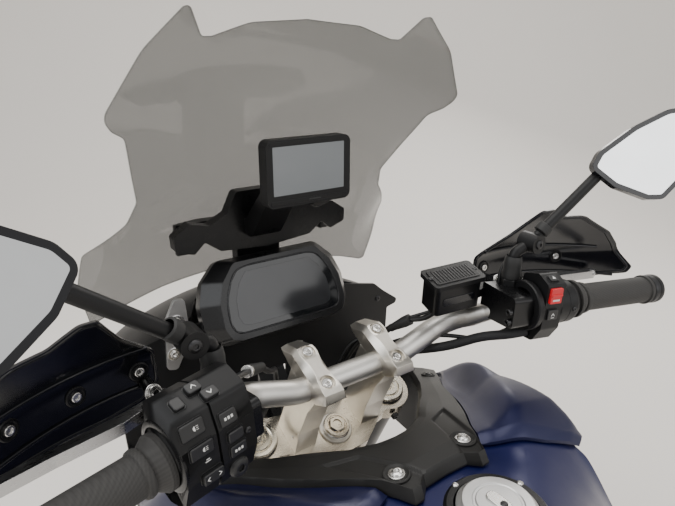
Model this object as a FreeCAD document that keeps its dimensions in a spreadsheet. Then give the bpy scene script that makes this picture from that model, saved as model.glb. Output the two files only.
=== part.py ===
import FreeCAD, Part
import math
import os
import re

from FreeCAD import Placement, Rotation, Vector

# Motorcycle cockpit assembly, in millimetres.
# The origin is on the axis of the frame's engine bolt, midway between its two lugs.
# +X is the rider's right, +Y is forward, +Z is up.
# Most pieces are drawn in the bar frame, whose origin is the centre of the handlebar between
# its clamps. Pieces on the steering axis are drawn in the steering frame, which is the bar
# frame tilted by the rake: there Z runs up the steering axis and Y points ahead of it.
# Pieces on a grip are drawn in that grip's frame: Z runs outboard along the grip from the
# bar's last bend, Y is up and X is fore and aft.

doc = FreeCAD.newDocument("cockpit")

# Driving dimensions
# name, size in millimetres or degrees, what it is
SIZES = [
    ("bar_ahead", 180, "handlebar centre ahead of the engine bolt"),
    ("bar_above", 330, "handlebar centre above the engine bolt"),
    ("rake", 25, "lean of the steering axis"),
    ("stem_behind", 13, "steering axis behind the handlebar centre"),
    ("bar_radius", 14.3, "handlebar at its clamps"),
    ("bar_grip_radius", 11, "handlebar under the grips"),
    ("bar_flat", 75.6, "first bend of the handlebar, out from the middle"),
    ("rise_out", 155.2, "second bend, out"),
    ("rise_up", 25.1, "second bend, up"),
    ("grip_out", 183.8, "last bend, out"),
    ("grip_back", 92, "last bend, back"),
    ("grip_up", 73.7, "last bend, up"),
    ("grip_sweep", 12.6, "grip line swept back"),
    ("grip_droop", 3.5, "grip line drooping"),
    ("bar_length", 222, "bar from the last bend to its end"),
    ("bend_large", 70, "radius of the first bend"),
    ("bend_small", 45, "radius of the other bends"),
    ("yoke_top", -106, "top face of the upper yoke"),
    ("yoke_thick", 24, "upper yoke"),
    ("lower_yoke_top", -315, "top face of the lower yoke"),
    ("lower_yoke_thick", 30, "lower yoke"),
    ("fork_half", 103, "fork leg out from the middle"),
    ("fork_ahead", 13.2, "fork leg ahead of the handlebar centre"),
    ("fork_radius", 27, "fork outer tube"),
    ("fork_bore", 24, "bore of the fork outer tube"),
    ("fork_length", 440, "fork outer tube"),
    ("fork_rise", 2, "fork tube above the upper yoke"),
    ("fork_collar", 30.5, "collar at the foot of the fork tube"),
    ("collar_height", 46, "collar at the foot of the fork tube"),
    ("cap_height", 3, "fork cap above its tube"),
    ("cap_plug", 20, "fork cap inside its tube"),
    ("cap_neck", 22, "fork tube's neck, where its cap goes in"),
    ("clamp_wall", 8, "yoke round a fork tube"),
    ("stem_radius", 15, "steering stem"),
    ("stem_running", 0.05, "clearance of the stem in its bearings"),
    ("stem_nut", 17.5, "nut on the steering stem"),
    ("head_radius", 32, "headstock tube"),
    ("head_relief", 21, "headstock bore between its bearings"),
    ("head_gap", 7, "headstock clear of each yoke"),
    ("bearing_height", 16, "each head bearing"),
    ("spar_radius", 14, "upper frame tubes"),
    ("low_spar_radius", 12, "lower frame tubes"),
    ("brace_radius", 9, "frame braces"),
    ("lug_out", 118, "outer face of each engine lug"),
    ("lug_thick", 26, "engine lug"),
    ("lug_radius", 19, "engine lug round its bolt"),
    ("bolt_radius", 6, "bore for the engine bolt"),
    ("riser_half", 51, "bar clamp out from the middle"),
    ("riser_width", 30, "bar clamp along the bar"),
    ("riser_front", 32, "bar clamp ahead of the bar"),
    ("riser_back", 22, "bar clamp behind the bar"),
    ("riser_waist", 23, "bar clamp foot, ahead of the bar"),
    ("clamp_nose", 60, "tip of the bar clamp ahead of the bar"),
    ("clamp_tail", 37, "rear end of the bar clamp behind the bar"),
    ("clamp_top", 27, "top of the bar clamp above the bar centre"),
    ("grip_radius", 17.5, "rubber grip"),
    ("grip_start", 79, "inner end of the grip from the last bend"),
    ("flange_radius", 24, "inner flange of the grip"),
    ("flange_thick", 5, "inner flange of the grip"),
    ("weight_radius", 19, "bar end weight"),
    ("weight_length", 17, "bar end weight"),
    ("perch_left", -5, "inner end of the left lever perch"),
    ("perch_left_end", 22, "outer end of the left lever perch"),
    ("perch_right", -24, "inner end of the right lever perch"),
    ("perch_right_end", 14, "outer end of the right lever perch"),
    ("perch_top", 18, "flat top of each lever perch above the bar centre"),
    ("perch_front", 42, "front of each lever perch ahead of the bar centre"),
    ("lever_ahead", 60, "lever seat ahead of the bar centre"),
    ("pod_left", 12, "inner end of the left switch pod"),
    ("pod_right", 15, "inner end of the right switch pod"),
    ("pod_width", 27, "right switch pod along the bar"),
    ("post_ahead", 28, "mirror post ahead of the bar centre"),
    ("post_out", 5, "mirror post along the grip line"),
    ("post_height", 34, "mirror post"),
    ("post_radius", 9, "mirror post"),
    ("throttle_radius", 27, "twist grip housing"),
    ("lever_thick", 11, "lever blade"),
    ("screen_thick", 3.5, "windscreen"),
    ("guard_thick", 4, "handguard"),
    ("cowl_thick", 4, "nose cowl"),
    ("cover_thick", 14, "tank cover"),
    ("shell_thick", 10, "side shell"),
    ("dash_tilt", 24, "display lean from upright"),
    ("dash_deep", 40, "display housing"),
    ("glass_thick", 3, "display glass"),
    ("nav_width", 117, "navigation unit"),
    ("nav_height", 79, "navigation unit"),
    ("nav_thick", 18, "navigation unit"),
    ("stay_width", 44, "dash stay ahead of the headstock"),
    ("stay_back", 206, "rear face of the stay's upright and beam"),
    ("stay_deep", 22, "stay's upright, front to back"),
    ("fairing_front", 242, "front of the inner fairing"),
    ("fairing_top", -140, "top edge of the inner fairing"),
    ("fairing_foot", -252, "lower edge of the inner fairing"),
    ("fairing_thick", 4, "wall of the inner fairing"),
    ("cheek_thick", 18, "cheek plate of the screen bracket"),
    ("panel_thick", 5, "dash panel and screen plates"),
    ("seat_gap", 2.4, "cover off the tank under it"),
    ("shell_gap", 3.2, "side shells off the middle of the tank under them"),
    ("tank_foot", -150, "underside of the tank over the frame"),
    ("filler_behind", 226, "filler behind the handlebar centre"),
    ("filler_top", -30, "top of the filler ring"),
    ("filler_deep", 22, "filler ring"),
    ("mirror_stem", 7, "mirror stem radius"),
    ("mirror_deep", 26, "mirror head"),
    ("mirror_rim", 6, "rim round the mirror glass"),
    ("mirror_glass", 3, "mirror glass"),
    ("hose_radius", 3.5, "brake and clutch hoses"),
    ("loom_radius", 6, "wiring looms"),
    ("filler_out", 49, "filler ring radius"),
    ("cap_out", 38, "filler cap radius"),
]

sheet = doc.addObject("Spreadsheet::Sheet", "sizes")
for row, (name, value, meaning) in enumerate(SIZES, start=1):
    sheet.set("A%d" % row, meaning)
    sheet.set("B%d" % row, str(value))
    sheet.setAlias("B%d" % row, name)
doc.recompute()


class Sizes:
    """The sheet's cells as plain numbers."""

    def __getattr__(self, name):
        return float(sheet.get(name))


S = Sizes()
ORIGINS = {"XY": "XY_Plane", "XZ": "XZ_Plane", "YZ": "YZ_Plane"}
SIDES = (("left", -1), ("right", 1))
parts = []


# Frames

BAR = Placement(Vector(0, S.bar_ahead, S.bar_above), Rotation())
STEER = Placement(BAR.Base, Rotation(Vector(1, 0, 0), S.rake))


def grip_frame(side):
    """Frame at the last bend on one side: Z out along the grip, Y up, X fore or aft."""
    sweep = math.radians(S.grip_sweep)
    droop = math.radians(S.grip_droop)
    along = Vector(side * math.cos(sweep) * math.cos(droop), -math.sin(sweep) * math.cos(droop),
                   -math.sin(droop))
    across = Vector(0, 0, 1).cross(along).normalize()
    upward = along.cross(across)
    corner = Vector(side * S.grip_out, -S.grip_back, S.grip_up)
    return BAR.multiply(Placement(corner, Rotation(across, upward, along, "ZXY")))


def bind(item, prop, text):
    """Tie a property to the sheet; every word in the text is one of its cells."""
    item.setExpression(prop, re.sub(r"[a-z][a-z_]+", lambda word: "sizes." + word.group(), text))


def seat(item, frame):
    """Put an object in its frame, tied to the sheet where the frame is only moved or tilted."""
    item.Placement = frame
    if frame in (BAR, STEER):
        bind(item, "Placement.Base.y", "bar_ahead")
        bind(item, "Placement.Base.z", "bar_above")
    if frame is STEER:
        bind(item, "Placement.Rotation.Angle", "rake * 1")


# Drawing


def rounded(corners, closed=True):
    """Straight runs and tangent arcs through corners, each a point and a radius."""
    count = len(corners)
    turns = []
    for index, (point, radius) in enumerate(corners):
        if radius <= 0 or (not closed and index in (0, count - 1)):
            turns.append((point, None, point))
            continue
        back = (corners[index - 1][0] - point).normalize()
        ahead = (corners[(index + 1) % count][0] - point).normalize()
        half = back.getAngle(ahead) / 2
        reach = radius / math.tan(half)
        middle = (back + ahead).normalize() * (radius / math.sin(half) - radius)
        turns.append((point + back * reach, point + middle, point + ahead * reach))
    pieces = []
    for index in range(count):
        start, middle, end = turns[index]
        if middle is not None:
            pieces.append(Part.Arc(start, middle, end))
        if index == count - 1 and not closed:
            break
        following = turns[(index + 1) % count][0]
        if (following - end).Length > 1e-6:
            pieces.append(Part.LineSegment(end, following))
    return pieces


def flat(points, radius=0.0):
    """Corners of a flat outline: (across, up) or (across, up, radius)."""
    return [(Vector(p[0], p[1], 0), p[2] if len(p) > 2 else radius) for p in points]


def mirrored(points, side):
    """The same outline on the other side of the middle."""
    return [(side * p[0],) + tuple(p[1:]) for p in points]


def both_halves(points):
    """A whole outline from its right half, whose ends lie on the middle line."""
    left = [(-p[0],) + tuple(p[1:]) for p in reversed(points) if abs(p[0]) > 1e-6]
    return list(points) + left


def shrunk(points, inward):
    """A closed outline moved inward all round; its corner radii shrink with it."""
    count = len(points)
    area = sum(points[i - 1][0] * points[i][1] - points[i][0] * points[i - 1][1]
               for i in range(count))
    turned = math.copysign(inward, area)
    lines = []
    for index in range(count):
        (x0, y0), (x1, y1) = points[index][:2], points[(index + 1) % count][:2]
        length = math.hypot(x1 - x0, y1 - y0)
        shift = (-(y1 - y0) / length * turned, (x1 - x0) / length * turned)
        lines.append((x0 + shift[0], y0 + shift[1], x1 - x0, y1 - y0))
    moved = []
    for index in range(count):
        ax, ay, adx, ady = lines[index - 1]
        bx, by, bdx, bdy = lines[index]
        along = ((bx - ax) * bdy - (by - ay) * bdx) / (adx * bdy - ady * bdx)
        radius = max(points[index][2] - inward, 2)
        moved.append((ax + along * adx, ay + along * ady, radius))
    return moved


def on_grip(side, ahead, above, out):
    """A point of the grip's frame, in the bar frame."""
    return grip_frame(side).multVec(Vector(side * ahead, above, out)) - BAR.Base


def triple(point, radius=0.0):
    return (point.x, point.y, point.z, radius)


def path(points):
    """Wire through (x, y, z, radius) points."""
    corners = [(Vector(*p[:3]), p[3] if len(p) > 3 else 0.0) for p in points]
    return Part.Wire([piece.toShape() for piece in rounded(corners, closed=False)])


def new_body(label, frame):
    body = doc.addObject("PartDesign::Body", label)
    body.Label = label
    seat(body, frame)
    return body


def draw(body, plane, outline, offset=0.0, radius=0.0):
    """Sketch on one of the body's own planes; the offset runs along +X, +Y or +Z."""
    sketch = body.newObject("Sketcher::SketchObject", "outline")
    for feature in body.Origin.OriginFeatures:
        if feature.Role == ORIGINS[plane]:
            sketch.AttachmentSupport = [(feature, "")]
    sketch.MapMode = "FlatFace"
    away = -offset if plane == "XZ" else offset
    sketch.AttachmentOffset = Placement(Vector(0, 0, away), Rotation())
    if isinstance(outline, tuple):
        across, upward, circle_radius = outline
        sketch.addGeometry(Part.Circle(Vector(across, upward, 0), Vector(0, 0, 1), circle_radius))
    else:
        for piece in rounded(flat(outline, radius)):
            sketch.addGeometry(piece)
    return sketch


def pad(body, plane, outline, length, offset=0.0, radius=0.0):
    """Pad towards +X, +Y or +Z; the length is a number or a text about the sheet's cells."""
    feature = body.newObject("PartDesign::Pad", "pad")
    feature.Profile = draw(body, plane, outline, offset, radius)
    feature.Reversed = plane == "XZ"
    if isinstance(length, str):
        bind(feature, "Length", length)
    else:
        feature.Length = length
    return feature


def pocket(body, plane, outline, length, offset=0.0, radius=0.0):
    """Cut towards +X, +Y or +Z from the sketch."""
    feature = body.newObject("PartDesign::Pocket", "pocket")
    feature.Profile = draw(body, plane, outline, offset, radius)
    feature.Reversed = plane != "XZ"
    if isinstance(length, str):
        bind(feature, "Length", length)
    else:
        feature.Length = length
    return feature


def turn(body, outline, radius=0.0):
    """Revolve (radius, height) points about the frame's Z."""
    feature = body.newObject("PartDesign::Revolution", "turn")
    sketch = draw(body, "XZ", outline, 0.0, radius)
    feature.Profile = sketch
    feature.ReferenceAxis = (sketch, ["V_Axis"])
    feature.Angle = 360
    return feature


def loft(body, plane, sections, radius=0.0):
    """Loft through (offset, outline) sections."""
    feature = body.newObject("PartDesign::AdditiveLoft", "loft")
    sketches = [draw(body, plane, outline, offset, radius) for offset, outline in sections]
    feature.Profile = sketches[0]
    feature.Sections = sketches[1:]
    feature.Ruled = True
    return feature


def swept(points, radius):
    """Round rod along (x, y, z, radius) points."""
    spine = path(points)
    first = spine.Edges[0]
    start = first.valueAt(first.FirstParameter)
    ring = Part.Circle(start, first.tangentAt(first.FirstParameter), radius)
    return spine.makePipeShell([Part.Wire(ring.toShape())], True, False)


def solid_feature(label, shape, frame):
    feature = doc.addObject("Part::Feature", label)
    feature.Label = label
    feature.Shape = shape
    seat(feature, frame)
    return feature


def joined(label, pieces):
    """Pieces welded one after the other."""
    whole = pieces[0]
    for piece in pieces[1:]:
        weld = doc.addObject("Part::Fuse", label + "_weld")
        weld.Base = whole
        weld.Tool = piece
        whole = weld
    whole.Label = label
    return whole


def cut(label, base, tool):
    feature = doc.addObject("Part::Cut", label)
    feature.Label = label
    feature.Base = base
    feature.Tool = tool
    return feature


def curved_sheet(height, first, second, axis, thick):
    """Thick skin over a rectangle: height(a, b) along the axis, first and second its ranges."""
    rows = []
    for a in spaced(*first):
        row = []
        for b in spaced(*second):
            level = height(a, b)
            row.append(Vector(a, level, b) if axis == "Y" else Vector(a, b, level))
        rows.append(row)
    surface = Part.BSplineSurface()
    surface.interpolate(rows)
    direction = Vector(0, thick, 0) if axis == "Y" else Vector(0, 0, -thick)
    return surface.toShape().extrude(direction)


def spaced(low, high, count):
    return [low + (high - low) * step / (count - 1) for step in range(count)]


def panel(label, skin, plane, outline, start, deep, frame):
    """Skin trimmed by an outline that is extruded along the skin's own thickness."""
    sheet_part = doc.addObject("Part::Feature", label + "_skin")
    sheet_part.Shape = skin
    rim = doc.addObject("Sketcher::SketchObject", label + "_rim")
    turned = Rotation(Vector(1, 0, 0), 90) if plane == "XZ" else Rotation()
    rim.Placement = Placement(Vector(0, start, 0) if plane == "XZ" else Vector(0, 0, start), turned)
    for piece in rounded(flat(outline)):
        rim.addGeometry(piece)
    prism = doc.addObject("Part::Extrusion", label + "_prism")
    prism.Base = rim
    prism.Solid = True
    prism.DirMode = "Custom"
    prism.Dir = Vector(0, 1, 0) if plane == "XZ" else Vector(0, 0, 1)
    prism.LengthFwd = deep
    trimmed = doc.addObject("Part::Common", label)
    trimmed.Label = label
    trimmed.Base = sheet_part
    trimmed.Tool = prism
    seat(trimmed, frame)
    return trimmed


def keep(*items):
    parts.extend(items)


# Frame and headstock


def steer_point(across, ahead, up):
    """A point of the steering frame, in the bar frame."""
    lean = math.radians(S.rake)
    return (across, ahead * math.cos(lean) - up * math.sin(lean),
            ahead * math.sin(lean) + up * math.cos(lean))


HEAD_TOP = S.yoke_top - S.yoke_thick - S.head_gap
HEAD_FOOT = S.lower_yoke_top + S.head_gap
TO_AXIS = Placement(Vector(0, -S.stem_behind, 0), Rotation())


def front_frame():
    """Headstock, four tubes, two lugs, the tank rest and the cross tubes, welded together."""
    tube = new_body("headstock", STEER.multiply(TO_AXIS))
    bore = S.stem_radius + S.stem_running
    turn(tube, [(bore, HEAD_FOOT), (S.head_radius + 3, HEAD_FOOT),
                (S.head_radius + 3, HEAD_FOOT + S.bearing_height),
                (S.head_radius, HEAD_FOOT + S.bearing_height + 6),
                (S.head_radius, HEAD_TOP - S.bearing_height - 6),
                (S.head_radius + 3, HEAD_TOP - S.bearing_height), (S.head_radius + 3, HEAD_TOP),
                (bore, HEAD_TOP), (bore, HEAD_TOP - S.bearing_height),
                (S.head_relief, HEAD_TOP - S.bearing_height),
                (S.head_relief, HEAD_FOOT + S.bearing_height),
                (bore, HEAD_FOOT + S.bearing_height)])
    pieces = [tube]
    lug_back = -S.bar_ahead
    lug_down = -S.bar_above
    lug_mid = S.lug_out - S.lug_thick / 2
    reach = S.head_relief + S.spar_radius / 2
    top_start = steer_point(16, -S.stem_behind - reach + 4, HEAD_TOP - 26)
    low_start = steer_point(16, -S.stem_behind - reach + 4, HEAD_FOOT + 22)
    for name, side in SIDES:
        routes = (("upper", top_start, (84, -70, -188), S.spar_radius, 6),
                  ("lower", low_start, (84, -50, -296), S.low_spar_radius, -3))
        for kind, start, knee, thick, lift in routes:
            route = [(side * start[0],) + start[1:] + (0,), (side * knee[0],) + knee[1:] + (60,),
                     (side * lug_mid, lug_back, lug_down + lift, 0)]
            pieces.append(solid_feature(kind + "_spar_" + name, swept(route, thick), BAR))
        brace = [(side * 84, -76, -194, 0), (side * 84, -56, -294, 0)]
        pieces.append(solid_feature("brace_" + name, swept(brace, S.brace_radius), BAR))
        rest = Part.makeBox(26, 40, S.tank_foot + 190, Vector(side * 84 - 13, -96, -190))
        pieces.append(solid_feature("tank_rest_" + name, rest, BAR))
        inner = S.lug_out - S.lug_thick
        lug = Part.makeCylinder(S.lug_radius, S.lug_thick,
                                Vector(side * inner, lug_back, lug_down), Vector(side, 0, 0))
        pieces.append(solid_feature("lug_" + name, lug, BAR))
    cross = Part.makeCylinder(S.brace_radius + 2, 2 * 82, Vector(-82, -72, -196), Vector(1, 0, 0))
    pieces.append(solid_feature("cross_tube", cross, BAR))
    weldment = joined("frame_weldment", pieces)
    drill = doc.addObject("Part::Cylinder", "engine_bolt_drill")
    bind(drill, "Radius", "bolt_radius")
    bind(drill, "Height", "lug_out * 2 + 4")
    drill.Placement = Placement(Vector(-S.lug_out - 2, 0, 0), Rotation(Vector(0, 1, 0), 90))
    clear = doc.addObject("Part::Cylinder", "headstock_clearance")
    bind(clear, "Radius", "head_relief")
    inside = HEAD_TOP - HEAD_FOOT - 2 * S.bearing_height
    clear.Height = inside
    at = Placement(Vector(0, -S.stem_behind, HEAD_FOOT + S.bearing_height), Rotation())
    clear.Placement = STEER.multiply(at)
    tools = joined("frame_drills", [drill, clear])
    keep(cut("front_frame", weldment, tools))


DASH = (158, 52)


def dash_back(along):
    """A point (ahead, up) of the display's back plane, so far up from its middle."""
    tilt = math.radians(S.dash_tilt)
    ahead = DASH[0] + S.dash_deep * math.cos(tilt) + along * math.sin(tilt)
    return (ahead, DASH[1] - S.dash_deep * math.sin(tilt) + along * math.cos(tilt))


def dash_stay():
    """Central arm from the headstock up to the display, with a beam to each side."""
    back = S.stay_back
    front = back + S.stay_deep
    arm = new_body("stay_arm", BAR)
    side_view = [(62, -204), (150, -204, 30), (front, -110, 20), (front, 42), dash_back(17),
                 dash_back(-16), (back, 14), (back, -98, 14), (140, -176, 20), (62, -176)]
    pad(arm, "YZ", side_view, "stay_width", -S.stay_width / 2)
    beam = new_body("stay_beam", BAR)
    pad(beam, "YZ", [(back, -20), (back + 18, -20), (back + 18, -2), (back, -2)], 2 * 150, -150)
    head = doc.addObject("Part::Cylinder", "stay_relief")
    bind(head, "Radius", "head_radius")
    head.Height = 400
    head.Placement = STEER.multiply(Placement(Vector(0, -S.stem_behind, -450), Rotation()))
    keep(cut("dash_stay", joined("stay_frame", [arm, beam]), head))


def dash_panel():
    """Moulded panel behind the display, with the inner fairing round the forks below it."""
    body = new_body("dash_plate", BAR)
    notch = S.stay_width / 2 + 3
    foot = S.fairing_top + 12
    leg = S.fairing_top - 12
    half = [(0, -94, 0), (notch, -94, 2), (notch, foot, 3), (202, foot, 3), (202, leg, 3),
            (222, leg, 3), (226, -52, 3), (255, -46, 6), (215, -17, 8), (198, -2, 8),
            (136, 13, 8), (0, 10, 0)]
    pad(body, "XZ", both_halves(half), "panel_thick", S.stay_back - S.panel_thick)
    wall = new_body("inner_fairing", BAR)
    front = S.fairing_front
    outside = [(0, front, 0), (150, front, 30), (212, front - 16, 16), (224, 190, 16),
               (216, 100, 30), (180, 0, 30), (174, -20, 0), (0, -20, 0)]
    deep = S.fairing_top - S.fairing_foot
    pad(wall, "XY", both_halves(outside), deep, S.fairing_foot)
    inside = [(0, front - S.fairing_thick, 0)]
    inside += [(x - S.fairing_thick, y - share, radius - 2) for (x, y, radius), share in
               zip(outside[1:4], (S.fairing_thick, 3, 0))]
    inside += [(212, 101, 28), (176, 1, 28), (166, -30, 0), (0, -30, 0)]
    pocket(wall, "XY", both_halves(inside), deep, S.fairing_foot)
    keep(joined("dash_panel", [body, wall]))


# Steering


def steering_stem():
    stem = new_body("steering_stem", STEER.multiply(TO_AXIS))
    foot = S.lower_yoke_top - S.lower_yoke_thick
    turn(stem, [(0, foot - 3), (S.stem_radius + 4, foot - 3), (S.stem_radius + 4, foot),
                (S.stem_radius, foot), (S.stem_radius, S.yoke_top), (S.stem_nut, S.yoke_top),
                (S.stem_nut, S.yoke_top + 5), (S.stem_nut - 4, S.yoke_top + 8),
                (0, S.yoke_top + 8)])
    keep(stem)


def yoke(label, top, thick, outline):
    """Yoke plate with its fork clamps, drilled for both legs and the stem."""
    body = new_body(label, STEER)
    pad(body, "XY", both_halves(outline), thick, top - thick, 6)
    around = S.fork_radius + S.clamp_wall
    for name, side in SIDES:
        pad(body, "XY", (side * S.fork_half, S.fork_ahead, around), thick, top - thick)
    pad(body, "XY", (0, -S.stem_behind, S.head_radius), thick, top - thick)
    for name, side in SIDES:
        pocket(body, "XY", (side * S.fork_half, S.fork_ahead, S.fork_radius), thick, top - thick)
    pocket(body, "XY", (0, -S.stem_behind, S.stem_radius), thick, top - thick)
    return body


def yokes():
    top = [(0, -48, 0), (32, -46, 12), (72, -20, 20), (100, -14, 8), (100, 40, 8), (62, 34, 10),
           (38, 30, 6), (26, 20, 8), (0, 20, 0)]
    low = [(0, -48, 0), (34, -44, 12), (74, -16, 20), (100, -14, 8), (100, 40, 8), (60, 36, 10),
           (0, 26, 0)]
    keep(yoke("top_yoke", S.yoke_top, S.yoke_thick, top))
    keep(yoke("lower_yoke", S.lower_yoke_top, S.lower_yoke_thick, low))


def fork_leg(name, side):
    place = STEER.multiply(Placement(Vector(side * S.fork_half, S.fork_ahead, 0), Rotation()))
    top = S.yoke_top + S.fork_rise
    foot = top - S.fork_length
    tube = new_body("fork_tube_" + name, place)
    turn(tube, [(S.fork_bore, foot), (S.fork_collar, foot),
                (S.fork_collar, foot + S.collar_height),
                (S.fork_radius, foot + S.collar_height + 8), (S.fork_radius, top),
                (S.cap_neck, top), (S.cap_neck, top - S.cap_plug),
                (S.fork_bore, top - S.cap_plug)])
    cap = new_body("fork_cap_" + name, place)
    turn(cap, [(0, top - S.cap_plug), (S.cap_neck, top - S.cap_plug), (S.cap_neck, top),
               (S.fork_radius - 1, top), (S.fork_radius - 1, top + S.cap_height - 1),
               (S.fork_radius - 2, top + S.cap_height), (0, top + S.cap_height)])
    keep(tube, cap)


def bar_clamp(name, side):
    """Riser on the yoke and the long-nosed cap over the bar."""
    inner = side * S.riser_half - S.riser_width / 2
    front = S.riser_front
    back = S.riser_back
    riser = new_body("riser_" + name, STEER)
    pad(riser, "YZ", [(-back, S.yoke_top), (S.riser_waist, S.yoke_top), (S.riser_waist, -54, 12),
                      (front, -26, 10), (front, 0), (-back, 0), (5 - back, -24, 10),
                      (5 - back, -72, 10)], "riser_width", inner)
    pocket(riser, "YZ", (0, 0, S.bar_radius), "riser_width", inner)
    cap = new_body("bar_clamp_" + name, STEER)
    nose = S.clamp_nose
    pad(cap, "YZ", [(-back, 0), (front, 0), (nose - 2, 4, 3), (nose, 10, 3),
                    (nose - 22, S.clamp_top, 6), (6 - S.clamp_tail, S.clamp_top, 5),
                    (-S.clamp_tail, 18, 4)], "riser_width", inner)
    pocket(cap, "YZ", (0, 0, S.bar_radius), "riser_width", inner)
    keep(riser, cap)


def bar_points(side):
    """Bends of the bar on one side, from the middle out."""
    sweep = math.radians(S.grip_sweep)
    droop = math.radians(S.grip_droop)
    level = S.bar_length * math.cos(droop)
    end = (side * (S.grip_out + level * math.cos(sweep)), -S.grip_back - level * math.sin(sweep),
           S.grip_up - S.bar_length * math.sin(droop), 0)
    return [(0, 0, 0, 0), (side * S.bar_flat, 0, 0, S.bend_large),
            (side * S.rise_out, 0, S.rise_up, S.bend_small),
            (side * S.grip_out, -S.grip_back, S.grip_up, S.bend_small / 1.5), end]


def handlebar():
    """Tapered bar: full radius to the second bend, grip radius beyond it."""
    pieces = []
    for name, side in SIDES:
        bends = bar_points(side)
        second = Vector(*bends[2][:3])
        rise = Vector(*bends[3][:3]) - second
        taper = rise * 0.24
        large_end = second + rise * 0.38
        pieces.append(swept(bends[:3] + [triple(large_end)], S.bar_radius))
        pieces.append(swept([triple(large_end + taper)] + bends[3:], S.bar_grip_radius))
        pieces.append(Part.makeCone(S.bar_radius, S.bar_grip_radius, taper.Length, large_end,
                                    taper))
    shape = pieces[0].multiFuse(pieces[1:]).removeSplitter()
    return solid_feature("handlebar", shape, BAR)


def grip(name, side):
    frame = grip_frame(side)
    start = S.grip_start
    end = S.bar_length - S.weight_length / 2
    body = new_body("grip_" + name, frame)
    turn(body, [(S.bar_grip_radius, start), (S.flange_radius, start),
                (S.flange_radius, start + S.flange_thick), (S.grip_radius, start + 14),
                (S.grip_radius, end), (S.bar_grip_radius, end)])
    weight = new_body("bar_end_" + name, frame)
    tip = end + S.weight_length
    turn(weight, [(S.bar_grip_radius, end), (S.weight_radius - 1, end), (S.weight_radius, end + 2),
                  (S.weight_radius, tip - 3), (S.weight_radius - 3, tip), (0, tip),
                  (0, S.bar_length), (S.bar_grip_radius, S.bar_length)])
    keep(body, weight)


# Outlines round the bar, ahead of it and up from it
LEFT_POD = [(-31, 22, 4), (-24, 45, 6), (-2, 54, 8), (15, 48, 6), (18, 20, 6), (26, 6, 6),
            (20, -32, 6),
            (0, -42, 6), (-22, -36, 6), (-32, -10, 6)]
RIGHT_POD = [(-27, 34, 4), (-8, 43, 6), (16, 36, 6), (21, 8, 6), (18, -26, 6), (6, -44, 6),
             (-14, -42, 6), (-26, -22, 6)]


def controls(name, side, bar):
    """Switch pod, lever perch and lever of one side; gives back the perch."""
    frame = grip_frame(side)
    inner = S.perch_left if side < 0 else S.perch_right
    outer = S.perch_left_end if side < 0 else S.perch_right_end
    start = S.pod_left if side < 0 else S.pod_right
    width = S.grip_start - start - 1 if side < 0 else S.pod_width
    front = S.perch_front
    round_bar = [(-20, S.perch_top, 6), (front, S.perch_top, 3), (front, -14, 6),
                 (24, -24, 6), (-20, -20, 6)]
    clamp = new_body("perch_block_" + name, frame)
    pad(clamp, "XY", mirrored(round_bar, side), outer - inner, inner)
    reach = S.lever_ahead
    nose = [(24, outer - 18), (front - 1, outer - 18), (reach, 44, 6), (reach, 62, 6),
            (38, 62, 6), (30, outer - 2)]
    arm = new_body("perch_arm_" + name, frame)
    pad(arm, "XZ", mirrored(nose, side), 20, -9)
    perch = cut("lever_perch_" + name, joined("perch_solid_" + name, [clamp, arm]), bar)
    outline = LEFT_POD if side < 0 else RIGHT_POD
    pod = new_body("pod_block_" + name, frame)
    pad(pod, "XY", mirrored(outline, side), width, start)
    drilled = cut("pod_drilled_" + name, pod, bar)
    keep(perch, cut("switch_pod_" + name, drilled, perch))
    if side > 0:
        housing = new_body("throttle_block", frame)
        begin = start + width
        turn(housing, [(0, begin), (S.throttle_radius, begin), (S.throttle_radius, 68, 5),
                       (S.throttle_radius - 6, S.grip_start - 1), (0, S.grip_start - 1)])
        keep(cut("throttle_housing", housing, bar))
    lever(name, side, frame)
    return perch


def lever(name, side, frame):
    """Blade that starts on the perch and runs out ahead of the grip."""
    body = new_body(("clutch" if side < 0 else "brake") + "_lever_" + name, frame)
    seat_at = S.lever_ahead
    plan = [(seat_at, 42), (seat_at + 12, 40, 4), (seat_at + 10, 74, 12), (seat_at + 12, 130, 60),
            (seat_at + 14, 190, 5), (seat_at + 4, 194, 5), (seat_at + 2, 134, 60),
            (seat_at - 3, 78, 10), (seat_at, 60)]
    pad(body, "XZ", mirrored(plan, side), "lever_thick", -S.lever_thick / 2)
    keep(body)


RESERVOIR = Placement(Vector(127.4, -34, 109), Rotation(-13.5, -4.4, 10.5))
RESERVOIR_DEEP = 44


def reservoir(perch):
    """Fluid reservoir of the front brake on its lug, inboard of the perch."""
    frame = BAR.multiply(RESERVOIR)
    body = new_body("reservoir_cup", frame)
    pad(body, "XY", [(-32, -18, 6), (32, -18, 6), (32, 18, 6), (-32, 18, 6)], 38, -RESERVOIR_DEEP)
    lug = new_body("reservoir_lug", frame)
    pad(lug, "XY", [(28, -14), (48, -10), (48, 6), (28, 6)], 12, -36)
    lid = new_body("reservoir_lid", frame)
    pad(lid, "XY", [(-35, -21, 5), (35, -21, 5), (35, 21, 5), (-35, 21, 5)], 6, -6)
    keep(cut("brake_reservoir", joined("reservoir_solid", [body, lug]), perch), lid)


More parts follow.
